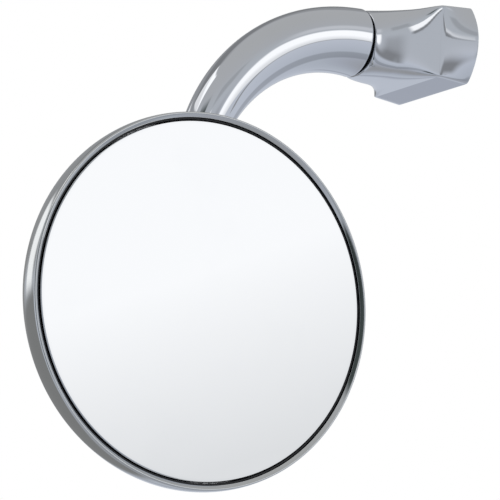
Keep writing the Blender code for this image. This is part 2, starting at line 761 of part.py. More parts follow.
def main():
    """Build every piece."""
    finishes = {
        "polished_steel": make_material("polished_steel", (0.80, 0.80, 0.80), 0.08, 1.0),
        "chrome": make_material("chrome", (0.78, 0.79, 0.81), 0.06, 1.0),
        "steel": make_material("zinc_plated_steel", (0.60, 0.61, 0.62), 0.35, 1.0),
        "black_steel": make_material("black_steel", (0.05, 0.05, 0.055), 0.40, 0.8),
        "brass": make_material("brass", (0.72, 0.55, 0.25), 0.30, 1.0),
        "glass": make_material("mirror_glass", (0.92, 0.93, 0.94), 0.02, 1.0),
        "rubber": make_material("black_rubber", (0.02, 0.02, 0.022), 0.55, 0.0),
        "foam": make_material("grey_foam", (0.18, 0.18, 0.19), 0.95, 0.0),
        "nylon": make_material("white_nylon", (0.85, 0.84, 0.80), 0.45, 0.0),
    }
    clamp_root = make_empty("clamp root", None, JOINT)
    arm_pivot = make_empty("arm swing axis", None, JOINT)
    lip_from_ball = (0.0, -BALL_DEPTH, 0.0)
    ball_from_joint = HEAD_FROM_JOINT + Vector((0.0, BALL_DEPTH, 0.0))
    pan_pivot = make_empty("head pan axis", arm_pivot, ball_from_joint)
    tilt_pivot = make_empty("head tilt axis", pan_pivot, (0.0, 0.0, 0.0))
    roll_pivot = make_empty("head roll axis", tilt_pivot, (0.0, 0.0, 0.0))
    plate_slide = make_empty("clamp plate slide", clamp_root, (0.0, 0.0, 0.0))

    make_clamp_body(Place(clamp_root), clamp_root, finishes["chrome"])
    make_neck_fittings(clamp_root, finishes)
    make_door_grip(clamp_root, plate_slide, finishes)
    make_arm_lock(clamp_root, finishes)

    stud_place = Place(arm_pivot, tuple(HEAD_FROM_JOINT), FACE_BACK)
    make_arm(arm_pivot, finishes["chrome"])
    make_ball_stud(stud_place, finishes["steel"])
    make_stud_fasteners(stud_place, finishes)

    rear_place = Place(pan_pivot, lip_from_ball, FACE_BACK)
    front_place = Place(tilt_pivot, lip_from_ball, FACE_BACK)
    make_seat("rear_ball_seat", REAR_SEAT_SPAN, rear_place, finishes["nylon"])
    make_seat("front_ball_seat", FRONT_SEAT_SPAN, front_place, finishes["nylon"])
    head_place = Place(roll_pivot, lip_from_ball, FACE_BACK)
    make_back_shell(head_place, finishes["polished_steel"])
    make_glass_and_backing(head_place, finishes)
    make_ball_cups(head_place, finishes)
    make_tension_fasteners(head_place, finishes)
    shade_round_pieces()


clear_scene()
PARTS = make_collection("car_side_mirror")
CUTTERS = make_collection("cutters")
main()
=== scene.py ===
"""Looks of a round clamp-on car side mirror: polished head, chromed arm and clamp, mirror glass.

Lengths are in metres. The frame's origin is the middle of the clamp slot's floor: +X runs along the
clamp's neck towards the door, -Y is the way the glass faces, and +Z is up. Clamp and arm shapes are
given from the joint where they meet. Head shapes are turned profiles of (radius, depth), and depth
runs back from a plane 0.3 mm behind the head's front lip.
"""

import json
import logging
import math
from dataclasses import dataclass
from enum import Enum

import bmesh
import bpy
from mathutils import Matrix, Vector


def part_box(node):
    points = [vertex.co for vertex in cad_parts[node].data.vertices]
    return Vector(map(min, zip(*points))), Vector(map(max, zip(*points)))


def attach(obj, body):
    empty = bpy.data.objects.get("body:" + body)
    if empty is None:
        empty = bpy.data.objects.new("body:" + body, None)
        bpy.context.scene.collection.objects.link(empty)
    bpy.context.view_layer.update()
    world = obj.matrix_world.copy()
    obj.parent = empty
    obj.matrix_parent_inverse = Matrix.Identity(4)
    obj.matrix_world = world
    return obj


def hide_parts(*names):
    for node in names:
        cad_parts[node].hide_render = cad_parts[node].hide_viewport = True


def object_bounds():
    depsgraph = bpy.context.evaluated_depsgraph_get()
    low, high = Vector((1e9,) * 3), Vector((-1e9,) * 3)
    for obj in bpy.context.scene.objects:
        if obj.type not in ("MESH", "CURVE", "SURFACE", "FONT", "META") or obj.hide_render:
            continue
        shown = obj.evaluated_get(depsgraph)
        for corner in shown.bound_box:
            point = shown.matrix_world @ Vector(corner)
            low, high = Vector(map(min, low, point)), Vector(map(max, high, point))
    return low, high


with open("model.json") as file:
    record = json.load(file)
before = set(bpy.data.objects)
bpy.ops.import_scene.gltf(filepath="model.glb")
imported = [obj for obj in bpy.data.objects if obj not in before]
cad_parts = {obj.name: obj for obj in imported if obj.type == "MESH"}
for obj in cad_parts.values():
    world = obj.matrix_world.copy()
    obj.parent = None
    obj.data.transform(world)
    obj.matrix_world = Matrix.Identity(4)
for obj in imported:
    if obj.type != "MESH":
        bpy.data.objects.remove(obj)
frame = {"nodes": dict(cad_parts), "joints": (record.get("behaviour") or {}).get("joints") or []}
CAD_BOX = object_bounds()

LOG = logging.getLogger("side_mirror")
JOINTS = {joint["name"]: Vector(joint["pos_m"]) for joint in frame["joints"] if joint.get("pos_m")}
NECK_JOINT = JOINTS["arm_swing"]
BALL = JOINTS["head_pan"]
WELD = 1e-6
DEGREES = 180.0 / math.pi

Point2 = tuple[float, float]
Corner = tuple[float, float, float]
Colour = tuple[float, float, float]


class Axis(Enum):
    """Which way a turned piece's height runs."""

    DEPTH = "back from the glass"
    NECK = "along the neck"


class Cut(Enum):
    """How one shape is combined with another."""

    JOIN = "UNION"
    REMOVE = "DIFFERENCE"
    KEEP = "INTERSECT"


# ---- shader trees ----


class Link:
    """A node's output that Python expressions can use."""

    def __init__(self, tree: "NodeTree", socket: bpy.types.NodeSocket) -> None:
        """Wrap a socket of a tree."""
        self.tree = tree
        self.socket = socket

    def _worked(self, operation: str, first: "Input", second: "Input") -> "Link":
        """Add a Math node."""
        return self.tree.node("ShaderNodeMath", {"operation": operation}, {0: first, 1: second})

    def __add__(self, other: "Input") -> "Link":
        """Sum."""
        return self._worked("ADD", self, other)

    def __radd__(self, other: "Input") -> "Link":
        """Sum, from the right."""
        return self._worked("ADD", other, self)

    def __sub__(self, other: "Input") -> "Link":
        """Difference."""
        return self._worked("SUBTRACT", self, other)

    def __rsub__(self, other: "Input") -> "Link":
        """Difference, from the right."""
        return self._worked("SUBTRACT", other, self)

    def __mul__(self, other: "Input") -> "Link":
        """Product."""
        return self._worked("MULTIPLY", self, other)

    def __rmul__(self, other: "Input") -> "Link":
        """Product, from the right."""
        return self._worked("MULTIPLY", other, self)

    def __pow__(self, other: "Input") -> "Link":
        """Power."""
        return self._worked("POWER", self, other)


Input = Link | float | int | tuple | bpy.types.Material


class NodeTree:
    """A node tree that is built one node at a time."""

    def __init__(self, tree: bpy.types.NodeTree) -> None:
        """Empty the tree.

        Args:
            tree: the material's, world's or geometry group's tree.
        """
        self.tree = tree
        tree.nodes.clear()

    def node(self, kind: str, settings: dict, inputs: dict, output: int | str = 0) -> Link:
        """Add a node, with its settings first and its sockets after.

        Args:
            kind: the node's type.
            settings: its attributes. "stops" gives a colour ramp's (place, colour) pairs.
            inputs: values or links, by socket name or number.
            output: which output to hand back.

        Returns:
            The chosen output.
        """
        made = self.tree.nodes.new(kind)
        for name, value in settings.items():
            if name == "stops":
                self._set_stops(made.color_ramp, value)
            else:
                setattr(made, name, value)
        for key, value in inputs.items():
            if isinstance(value, Link):
                self.tree.links.new(value.socket, made.inputs[key])
            else:
                made.inputs[key].default_value = value
        return Link(self, made.outputs[output]) if made.outputs else Link(self, None)

    def _set_stops(self, ramp: bpy.types.ColorRamp, stops: list) -> None:
        """Give a colour ramp its stops.

        Args:
            ramp: the ramp.
            stops: (place, colour) pairs.
        """
        while len(ramp.elements) < len(stops):
            ramp.elements.new(1.0)
        for element, (place, colour) in zip(ramp.elements, stops):
            element.position = place
            element.color = (*colour, 1.0)

    def ranged(self, value: Link, low: float, high: float, smooth: bool = True) -> Link:
        """Spread a value's range over 0 to 1.

        Args:
            value: what to spread.
            low: where 0 is.
            high: where 1 is.
            smooth: whether the ends are eased.

        Returns:
            The spread value.
        """
        ease = {"interpolation_type": "SMOOTHSTEP" if smooth else "LINEAR"}
        return self.node("ShaderNodeMapRange", ease, {0: value, 1: low, 2: high})

    def mixed(self, factor: Input, first: Link | Colour, second: Link | Colour) -> Link:
        """Blend two colours.

        Args:
            factor: the second colour's share.
            first: a colour.
            second: another colour.

        Returns:
            The blend.
        """
        pair = [c if isinstance(c, Link) else (*c, 1.0) for c in (first, second)]
        return self.node(
            "ShaderNodeMix", {"data_type": "RGBA"}, {0: factor, 6: pair[0], 7: pair[1]}, 2
        )


class MaterialTree(NodeTree):
    """The tree of one piece's finish."""

    def __init__(self, name: str) -> None:
        """Start a material of that name.

        Args:
            name: the material's name.
        """
        self.material = bpy.data.materials.new(name)
        self.material.use_nodes = True
        super().__init__(self.material.node_tree)

    def place(self, centre: Vector | None = None) -> Link:
        """Object coordinates.

        Args:
            centre: where the pattern's own zero is.

        Returns:
            The coordinates.
        """
        here = self.node("ShaderNodeTexCoord", {}, {}, "Object")
        if centre is None:
            return here
        return self.node("ShaderNodeMapping", {}, {"Vector": here, "Location": tuple(-centre)})

    def noise(self, scale: float, detail: float = 2.0, at: Link | None = None) -> Link:
        """Even 3-D noise from 0 to 1.

        Args:
            scale: patches in a metre.
            detail: how many finer layers it has.
            at: coordinates, or None for the object's.

        Returns:
            The noise.
        """
        sizes = {"Vector": at or self.place(), "Scale": scale, "Detail": detail}
        return self.node("ShaderNodeTexNoise", {}, sizes)

    def lines(self, distance: Link, per_metre: float) -> Link:
        """Fine lines that run square to a distance, as polishing or turning leaves.

        Args:
            distance: distance across the lines.
            per_metre: how many lines there are in a metre.

        Returns:
            Noise that changes only with the distance.
        """
        sizes = {"W": distance, "Scale": per_metre, "Detail": 3.0}
        return self.node("ShaderNodeTexNoise", {"noise_dimensions": "1D"}, sizes)

    def off_axis(self, centre: Vector, axis: Axis) -> Link:
        """Distance from a line through a point, along an axis.

        Args:
            centre: the point.
            axis: which way the line runs.

        Returns:
            The distance.
        """
        keep = (1.0, 0.0, 1.0) if axis is Axis.DEPTH else (0.0, 1.0, 1.0)
        flat = self.node(
            "ShaderNodeVectorMath", {"operation": "MULTIPLY"}, {0: self.place(centre), 1: keep}
        )
        return self.node("ShaderNodeVectorMath", {"operation": "LENGTH"}, {0: flat}, "Value")

    def bump(self, height: Link, depth: float, strength: float = 1.0) -> Link:
        """Turn a height into a surface direction.

        Args:
            height: 0 to 1.
            depth: how far 1 stands above 0.
            strength: how much of it shows.

        Returns:
            The direction.
        """
        return self.node(
            "ShaderNodeBump", {}, {"Height": height, "Distance": depth, "Strength": strength}
        )

    def finished(self, sockets: dict[str, Input]) -> bpy.types.Material:
        """Close the tree with a Principled shader.

        Args:
            sockets: the shader's values and links, by name.

        Returns:
            The material.
        """
        values = {k: (*v, 1.0) if k == "Base Color" and isinstance(v, tuple) else v
                  for k, v in sockets.items()}
        surface = self.node("ShaderNodeBsdfPrincipled", {}, values)
        self.node("ShaderNodeOutputMaterial", {}, {"Surface": surface})
        return self.material


# ---- finishes ----


@dataclass(frozen=True)
class Chrome:
    """Bright plating over a polished casting, with a hint of unevenness and hazy patches."""

    colour: Colour = (0.775, 0.785, 0.805)
    haze: Colour = (0.735, 0.745, 0.765)
    roughness: float = 0.022
    waviness: float = 0.000008
    slot: str = "chrome"

    def material(self, name: str) -> bpy.types.Material:
        """Make the material.

        Args:
            name: the material's name.

        Returns:
            The material.
        """
        tree = MaterialTree(name)
        broad = tree.noise(55.0, 2.0)
        specks = tree.ranged(tree.noise(2600.0, 3.0), 0.58, 0.74)
        wipe = tree.noise(240.0, 3.0)
        return tree.finished(
            {
                "Base Color": tree.mixed(broad * 0.7 + specks * 0.3, self.colour, self.haze),
                "Metallic": 1.0,
                "Roughness": wipe * 0.016 + specks * 0.03 + self.roughness - 0.008,
                "Normal": tree.bump(tree.noise(95.0, 1.0), self.waviness),
            }
        )


@dataclass(frozen=True)
class PolishedSteel:
    """Spun stainless steel, buffed in circles round the head's axis."""

    centre: Vector
    colour: Colour = (0.75, 0.755, 0.745)
    worn: Colour = (0.66, 0.665, 0.655)
    roughness: float = 0.09
    slot: str = "polished_steel"

    def material(self, name: str) -> bpy.types.Material:
        """Make the material.

        Args:
            name: the material's name.

        Returns:
            The material.
        """
        tree = MaterialTree(name)
        lines = tree.lines(tree.off_axis(self.centre, Axis.DEPTH), 5200.0)
        patches = tree.noise(70.0, 3.0)
        return tree.finished(
            {
                "Base Color": tree.mixed(lines * 0.5 + patches * 0.5, self.colour, self.worn),
                "Metallic": 1.0,
                "Roughness": lines * 0.07 + patches * 0.05 + self.roughness - 0.06,
                "Normal": tree.bump(lines, 0.0000012),
            }
        )


@dataclass(frozen=True)
class MirrorGlass:
    """Silvered glass, with painted shade that makes it faintly greyer towards the ground edge, and
    a trace of wiping haze.
    """

    centre: Vector
    radius: float
    colour: Colour = (0.755, 0.76, 0.765)
    # edge: painted shade for the glass's rim
    edge: Colour = (0.70, 0.71, 0.72)
    slot: str = "mirror_glass"

    def material(self, name: str) -> bpy.types.Material:
        """Make the material.

        Args:
            name: the material's name.

        Returns:
            The material.
        """
        tree = MaterialTree(name)
        out = tree.off_axis(self.centre, Axis.DEPTH) * (1.0 / self.radius)
        # painted shade: a narrow ring at the rim, next to the lip, is darkened
        edge = tree.ranged(out, 0.975, 1.0)
        haze = tree.ranged(tree.noise(60.0, 4.0), 0.45, 0.75)
        return tree.finished(
            {
                "Base Color": tree.mixed(edge * 0.8 + haze * 0.15, self.colour, self.edge),
                "Metallic": 1.0,
                "Roughness": haze * 0.012 + edge * 0.03 + 0.004,
            }
        )


@dataclass(frozen=True)
class Rubber:
    """Black rubber with a fine moulded grain and a little dust."""

    colour: Colour = (0.014, 0.014, 0.016)
    dust: Colour = (0.045, 0.045, 0.048)
    slot: str = "black_rubber"

    def material(self, name: str) -> bpy.types.Material:
        """Make the material.

        Args:
            name: the material's name.

        Returns:
            The material.
        """
        tree = MaterialTree(name)
        grain = tree.noise(5200.0, 4.0)
        dust = tree.ranged(tree.noise(420.0, 5.0), 0.45, 0.8)
        return tree.finished(
            {
                "Base Color": tree.mixed(dust, self.colour, self.dust),
                "Roughness": grain * 0.2 + dust * 0.15 + 0.38,
                "Normal": tree.bump(grain, 0.00004, 0.7),
            }
        )


@dataclass(frozen=True)
class Foam:
    """Grey closed-cell foam, with painted shade darkening its pores."""

    colour: Colour = (0.20, 0.20, 0.21)
    # the pores' colour is painted shade in the cell hollows
    shaded_pores: Colour = (0.06, 0.06, 0.065)
    cells_per_metre: float = 1500.0
    slot: str = "grey_foam"

    def material(self, name: str) -> bpy.types.Material:
        """Make the material.

        Args:
            name: the material's name.

        Returns:
            The material.
        """
        tree = MaterialTree(name)
        sizes = {"Vector": tree.place(), "Scale": self.cells_per_metre}
        cells = tree.node("ShaderNodeTexVoronoi", {}, sizes, "Distance")
        # painted shade: the cell hollows are darkened in colour, and are also sunk by bump and made
        # rougher
        shaded_pores = tree.ranged(cells, 0.55, 0.1)
        tone = shaded_pores * 0.7 + tree.noise(90.0) * 0.3
        return tree.finished(
            {
                "Base Color": tree.mixed(tone, self.colour, self.shaded_pores),
                "Roughness": shaded_pores * 0.08 + 0.88,
                "Normal": tree.bump(1 - shaded_pores, 0.0002),
            }
        )


@dataclass(frozen=True)
class ZincPlate:
    """Zinc-plated steel: mottled, satin and a little cool."""

    colour: Colour = (0.62, 0.63, 0.645)
    dull: Colour = (0.44, 0.45, 0.46)
    roughness: float = 0.24
    slot: str = "zinc_plated_steel"

    def material(self, name: str) -> bpy.types.Material:
        """Make the material.

        Args:
            name: the material's name.

        Returns:
            The material.
        """
        tree = MaterialTree(name)
        mottle = tree.ranged(tree.noise(800.0, 4.0), 0.35, 0.7)
        sizes = {"Vector": tree.place(), "Scale": 1800.0}
        spangle = tree.node("ShaderNodeTexVoronoi", {}, sizes, "Distance")
        return tree.finished(
            {
                "Base Color": tree.mixed(mottle * 0.7 + spangle * 0.3, self.colour, self.dull),
                "Metallic": 1.0,
                "Roughness": mottle * 0.14 + spangle * 0.06 + self.roughness,
                "Normal": tree.bump(mottle, 0.000006),
            }
        )


@dataclass(frozen=True)
class BlackSteel:
    """Blackened screw steel with an oily, slightly brown cast."""

    colour: Colour = (0.030, 0.030, 0.033)
    rubbed: Colour = (0.12, 0.105, 0.095)
    slot: str = "black_steel"

    def material(self, name: str) -> bpy.types.Material:
        """Make the material.

        Args:
            name: the material's name.

        Returns:
            The material.
        """
        tree = MaterialTree(name)
        rubbed = tree.ranged(tree.noise(1500.0, 5.0), 0.55, 0.8)
        return tree.finished(
            {
                "Base Color": tree.mixed(rubbed, self.colour, self.rubbed),
                "Metallic": 0.85,
                "Roughness": 0.42 - rubbed * 0.14,
                "Normal": tree.bump(tree.noise(4000.0), 0.000008),
            }
        )


@dataclass(frozen=True)
class Brass:
    """Turned brass with lines round its own axis and a light tarnish."""

    centre: Vector
    colour: Colour = (0.74, 0.56, 0.26)
    tarnish: Colour = (0.48, 0.33, 0.14)
    slot: str = "brass"

    def material(self, name: str) -> bpy.types.Material:
        """Make the material.

        Args:
            name: the material's name.

        Returns:
            The material.
        """
        tree = MaterialTree(name)
        lines = tree.lines(tree.off_axis(self.centre, Axis.DEPTH), 9000.0)
        tarnish = tree.ranged(tree.noise(900.0, 4.0), 0.4, 0.75)
        return tree.finished(
            {
                "Base Color": tree.mixed(tarnish, self.colour, self.tarnish),
                "Metallic": 1.0,
                "Roughness": lines * 0.12 + tarnish * 0.12 + 0.2,
                "Normal": tree.bump(lines, 0.000004),
            }
        )


@dataclass(frozen=True)
class Nylon:
    """Off-white bearing nylon with faint flow marks."""

    colour: Colour = (0.80, 0.79, 0.74)
    flow: Colour = (0.70, 0.68, 0.61)
    slot: str = "white_nylon"

    def material(self, name: str) -> bpy.types.Material:
        """Make the material.

        Args:
            name: the material's name.

        Returns:
            The material.
        """
        tree = MaterialTree(name)
        flow = tree.noise(350.0, 3.0)
        return tree.finished(
            {
                "Base Color": tree.mixed(flow, self.colour, self.flow),
                "Roughness": flow * 0.12 + 0.36,
                "Subsurface Weight": 0.08,
                "Subsurface Radius": (0.002, 0.002, 0.0015),
                "Normal": tree.bump(tree.noise(2600.0), 0.00001),
            }
        )


Metal = Chrome | PolishedSteel | ZincPlate | BlackSteel | Brass
Finish = Metal | MirrorGlass | Rubber | Foam | Nylon


# ---- shapes ----


def softened(corners: list[Corner], closed: bool = True, steps: int = 4) -> list[Point2]:
    """Round an outline's corners.

    Args:
        corners: (across, up, how far from the corner its rounding starts). 0 keeps it sharp.
        closed: whether the outline runs round to its start.
        steps: how many edges a rounding has.

    Returns:
        The outline's points.
    """
    count = len(corners)
    outline: list[Point2] = []
    for i, (x, y, reach) in enumerate(corners):
        corner = Vector((x, y))
        at_end = not closed and i in (0, count - 1)
        if reach <= 0 or at_end:
            outline.append((x, y))
            continue
        ways = [Vector(corners[j % count][:2]) - corner for j in (i - 1, i + 1)]
        reach = min(reach, *(0.48 * way.length for way in ways))
        start, end = (corner + way.normalized() * reach for way in ways)
        for k in range(steps + 1):
            t = k / steps
            outline.append(tuple((1 - t) ** 2 * start + 2 * t * (1 - t) * corner + t**2 * end))
    return outline


def ball_arc(radius: float, start: float, end: float, count: int = 16) -> list[Point2]:
    """Points on a circle about the ball's centre.

    Args:
        radius: the circle's.
        start: first angle, in degrees from the axis that points back.
        end: last angle.
        count: how many steps.

    Returns:
        (radius, depth) points, with depth measured from the ball's centre.
    """
    angles = [math.radians(start + (end - start) * i / count) for i in range(count + 1)]
    return [(radius * math.sin(a), radius * math.cos(a)) for a in angles]


def closed_mesh(name: str, shape: bmesh.types.BMesh) -> bpy.types.Mesh:
    """Weld a shape, point its faces outwards and make it a mesh.

    Args:
        name: the new mesh's name.
        shape: what to make it from. It is freed.

    Returns:
        The closed mesh.
    """
    bmesh.ops.remove_doubles(shape, verts=shape.verts, dist=WELD)
    bmesh.ops.recalc_face_normals(shape, faces=shape.faces)
    mesh = bpy.data.meshes.new(name)
    shape.to_mesh(mesh)
    shape.free()
    return mesh


def turned(
    name: str, profile: list[Point2], centre: Vector, axis: Axis, steps: int = 96
) -> bpy.types.Mesh:
    """Spin a profile.

    Args:
        name: the mesh's name.
        profile: (radius, height) points. It is closed round, and points on the axis become poles.
        centre: where radius and height are 0.
        axis: which way the height runs.
        steps: how many sides it has.

    Returns:
        The closed mesh.
    """
    shape = bmesh.new()
    rows = []
    for radius, height in profile:
        row = []
        for i in range(steps if radius > WELD else 1):
            angle = 2 * math.pi * i / steps
            across, up = radius * math.cos(angle), radius * math.sin(angle)
            spot = (across, height, up) if axis is Axis.DEPTH else (height, across, up)
            row.append(shape.verts.new(centre + Vector(spot)))
        rows.append(row)
    for row, following in zip(rows, rows[1:] + rows[:1]):
        if len(row) == 1 and len(following) == 1:
            continue
        for i in range(steps):
            after = (i + 1) % steps
            ring = [row[i % len(row)], row[after % len(row)]]
            ring += [following[after % len(following)], following[i % len(following)]]
            shape.faces.new(list(dict.fromkeys(ring)))
    return closed_mesh(name, shape)


def lofted(name: str, sections: list[list[Vector]]) -> bpy.types.Mesh:
    """Skin a row of closed cross-sections that have the same number of points.

    Args:
        name: the mesh's name.
        sections: points of each cross-section.

    Returns:
        The closed mesh.
    """
    shape = bmesh.new()
    loops = [[shape.verts.new(point) for point in section] for section in sections]
    for loop, following in zip(loops, loops[1:]):
        for i, vert in enumerate(loop):
            after = (i + 1) % len(loop)
            shape.faces.new((vert, loop[after], following[after], following[i]))
    shape.faces.new(loops[0][::-1])
    shape.faces.new(loops[-1])
    return closed_mesh(name, shape)


def plain_mesh(obj: bpy.types.Object) -> bpy.types.Mesh:
    """The mesh that an object's modifiers give. The object is removed.

    Args:
        obj: the object.

    Returns:
        The mesh, with the modifiers applied.
    """
    bpy.context.view_layer.update()
    graph = bpy.context.evaluated_depsgraph_get()
    mesh = bpy.data.meshes.new_from_object(obj.evaluated_get(graph))
    obj.modifiers.clear()
    bpy.data.objects.remove(obj, do_unlink=True)
    return mesh


def put(name: str, mesh: bpy.types.Mesh) -> bpy.types.Object:
    """Add a mesh to the scene as an object at the origin.

    Args:
        name: the object's name.
        mesh: what it holds.

    Returns:
        The object.
    """
    obj = bpy.data.objects.new(name, mesh)
    bpy.context.scene.collection.objects.link(obj)
    return obj


def combined(mesh: bpy.types.Mesh, steps: list[tuple[Cut, bpy.types.Mesh]]) -> bpy.types.Mesh:
    """Join shapes to a mesh, or cut them from it, in order.

    Args:
        mesh: what to start with.
        steps: how each shape is combined, and the shape.

    Returns:
        The combined mesh.
    """
    obj = put(mesh.name, mesh)
    tools = []
    for cut, tool_mesh in steps:
        tool = put(tool_mesh.name, tool_mesh)
        modifier = obj.modifiers.new(cut.name, "BOOLEAN")
        modifier.operation = cut.value
        modifier.solver = "EXACT"
        modifier.object = tool
        tools.append(tool)
    result = plain_mesh(obj)
    for tool in tools:
        bpy.data.objects.remove(tool, do_unlink=True)
    return result


def rod(
    name: str, radius: float, span: Point2, centre: Vector, axis: Axis, sides: int = 48
) -> bpy.types.Mesh:
    """A plain round or six-sided bar between two heights, mostly to cut with.

    Args:
        name: the new mesh's name.
        radius: how far its corners are from its middle line.
        span: its two heights along the axis.
        centre: where heights start from.
        axis: which way it runs.
        sides: how many sides it has.

    Returns:
        The closed mesh.
    """
    low, high = span
    profile = [(0.0, low), (radius, low), (radius, high), (0.0, high)]
    return turned(name, profile, centre, axis, sides)


def hexagon(
    name: str, flat_r: float, span: Point2, centre: Vector, axis: Axis
) -> bpy.types.Mesh:
    """A six-sided bar whose corners are turned off at both ends, as on a nut.

    Args:
        name: the mesh's name.
        flat_r: distance from the middle to a flat.
        span: lowest and highest height.
        centre: where the height is 0.
        axis: which way the height runs.

    Returns:
        The closed mesh.
    """
    low, high = span
    corner_r = flat_r / math.cos(math.pi / 6)
    drop = (corner_r - flat_r) * 0.62
    profile = [(0.0, low), (flat_r * 0.985, low), (corner_r * 1.01, low + drop)]
    profile += [(corner_r * 1.01, high - drop), (flat_r * 0.985, high), (0.0, high)]
    bar = rod(name, corner_r, span, centre, axis, 6)
    return combined(bar, [(Cut.KEEP, turned(f"{name} lathe", profile, centre, axis, 96))])


def threaded(
    name: str, radius: float, depth: float, pitch: float, span: Point2, centre: Vector, axis: Axis
) -> bpy.types.Mesh:
    """A bar with a real helical thread and a chamfer at each end.

    Args:
        name: the mesh's name.
        radius: over the thread's crests.
        depth: from crest to root.
        pitch: from crest to crest.
        span: lowest and highest height.
        centre: where the height is 0.
        axis: which way the height runs.

    Returns:
        The closed mesh.
    """
    low, high = span
    sides, rows = 40, max(8, round((high - low) / pitch * 8))
    sections = []
    for row in range(rows + 1):
        height = low + (high - low) * row / rows
        near_end = min(height - low, high - height)
        cap = radius - depth * 1.3 + near_end
        ring = []
        for i in range(sides):
            angle = 2 * math.pi * i / sides
            phase = (height / pitch - i / sides) % 1.0
            crest = radius - depth * min(1.0, abs(2 * phase - 1) * 1.15)
            r = min(crest, cap)
            across, up = r * math.cos(angle), r * math.sin(angle)
            spot = (across, height, up) if axis is Axis.DEPTH else (height, across, up)
            ring.append(centre + Vector(spot))
        sections.append(ring)
    return lofted(name, sections)


# ---- Geometry Nodes ----


class ShapeTree(NodeTree):
    """A Geometry Nodes tree with named sizes. It ends in Realize Instances and Set Material."""

    def __init__(self, name: str) -> None:
        """Start a tree with one geometry coming in and one going out.

        Args:
            name: the tree's name.
        """
        super().__init__(bpy.data.node_groups.new(name, "GeometryNodeTree"))
        self.keys: dict[str, str] = {}
        for side in ("INPUT", "OUTPUT"):
            self.tree.interface.new_socket(
                "Geometry", in_out=side, socket_type="NodeSocketGeometry"
            )
        self.entry = self.tree.nodes.new("NodeGroupInput")

    def size(self, name: str, kind: str = "Float") -> Link:
        """Add a named input.

        Args:
            name: its name.
            kind: Float, Int, Vector or Material.

        Returns:
            Its link inside the tree.
        """
        item = self.tree.interface.new_socket(
            name, in_out="INPUT", socket_type=f"NodeSocket{kind}"
        )
        self.keys[name] = item.identifier
        return Link(self, self.entry.outputs[name])

    def base(self) -> Link:
        """The geometry that comes in."""
        return Link(self, self.entry.outputs["Geometry"])

    def grown(self, name: str, geometry: Link, mesh: bpy.types.Mesh, sizes: dict) -> bpy.types.Mesh:
        """Close the tree and run it.

        Args:
            name: the finished mesh's name.
            geometry: what the tree made.
            mesh: the mesh that comes in.
            sizes: a value for each named input.

        Returns:
            A plain mesh.
        """
        material = self.size("Material", "Material")
        solid = self.node("GeometryNodeRealizeInstances", {}, {"Geometry": geometry})
        dressed = self.node(
            "GeometryNodeSetMaterial", {}, {"Geometry": solid, "Material": material}
        )
        self.node("NodeGroupOutput", {}, {"Geometry": dressed})
        obj = put(name, mesh)
        modifier = obj.modifiers.new(name, "NODES")
        modifier.node_group = self.tree
        for key, value in sizes.items():
            modifier[self.keys[key]] = value
        return plain_mesh(obj)


def round_axis_tree(name: str) -> tuple[ShapeTree, Link]:
    """A tree that sets copies of what comes in on a circle about the depth axis.

    Args:
        name: the tree's name.

    Returns:
        The tree and its points, for shapes to be set on.
    """
    tree = ShapeTree(name)
    circle = tree.node(
        "GeometryNodeMeshCircle",
        {},
        {"Vertices": tree.size("Count", "Int"), "Radius": tree.size("Circle radius")},
    )
    stood = tree.node(
        "GeometryNodeTransform",
        {},
        {
            "Geometry": circle,
            "Translation": tree.size("Centre", "Vector"),
            "Rotation": (math.radians(90.0), 0.0, 0.0),
        },
    )
    return tree, stood


def on_points(tree: ShapeTree, points: Link, shape: Link) -> Link:
    """Set a shape on every point."""
    return tree.node("GeometryNodeInstanceOnPoints", {}, {"Points": points, "Instance": shape})


# ---- putting pieces in ----


def add_piece(
    name: str,
    mesh: bpy.types.Mesh,
    finish: Finish,
    body: str,
    nodes: tuple[str, ...],
    crisp: float = 32.0,
) -> bpy.types.Object:
    """Put a finished piece in the scene.

    Args:
        name: its name.
        mesh: its mesh, already in place.
        finish: what it is made of.
        body: the CAD body that it moves with.
        nodes: the CAD nodes that it stands for.
        crisp: edges sharper than this many degrees stay crisp.

    Returns:
        The object.
    """
    obj = put(name, mesh)
    mesh.name = name
    mesh.materials.clear()
    mesh.materials.append(finish.material(name))
    mesh.polygons.foreach_set("material_index", [0] * len(mesh.polygons))
    mesh.shade_smooth()
    mesh.set_sharp_from_angle(angle=math.radians(crisp))
    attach(obj, body)
    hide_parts(*nodes)
    LOG.info("%s: %d faces, rides on %s", name, len(mesh.polygons), body)
    return obj


def dress(node: str, finish: Finish) -> None:
    """Give a CAD node that stays in view a better material.

    Args:
        node: the node's name.
        finish: what it is made of.
    """
    obj = frame["nodes"][node]
    material = finish.material(node)
    for slot in obj.material_slots:
        slot.material = material
    LOG.info("%s: dressed", node)


def dressed(name: str, mesh: bpy.types.Mesh) -> bpy.types.Mesh:
    """Weigh a mesh's corner normals by face area, so that flats stay flat beside roundings.

    Args:
        name: the new object's name.
        mesh: the mesh.

    Returns:
        The mesh with its normals set.
    """
    mesh.shade_smooth()
    mesh.set_sharp_from_angle(angle=math.radians(38.0))
    obj = put(name, mesh)
    modifier = obj.modifiers.new("weigh", "WEIGHTED_NORMAL")
    modifier.keep_sharp = True
    return plain_mesh(obj)


# ---- head ----


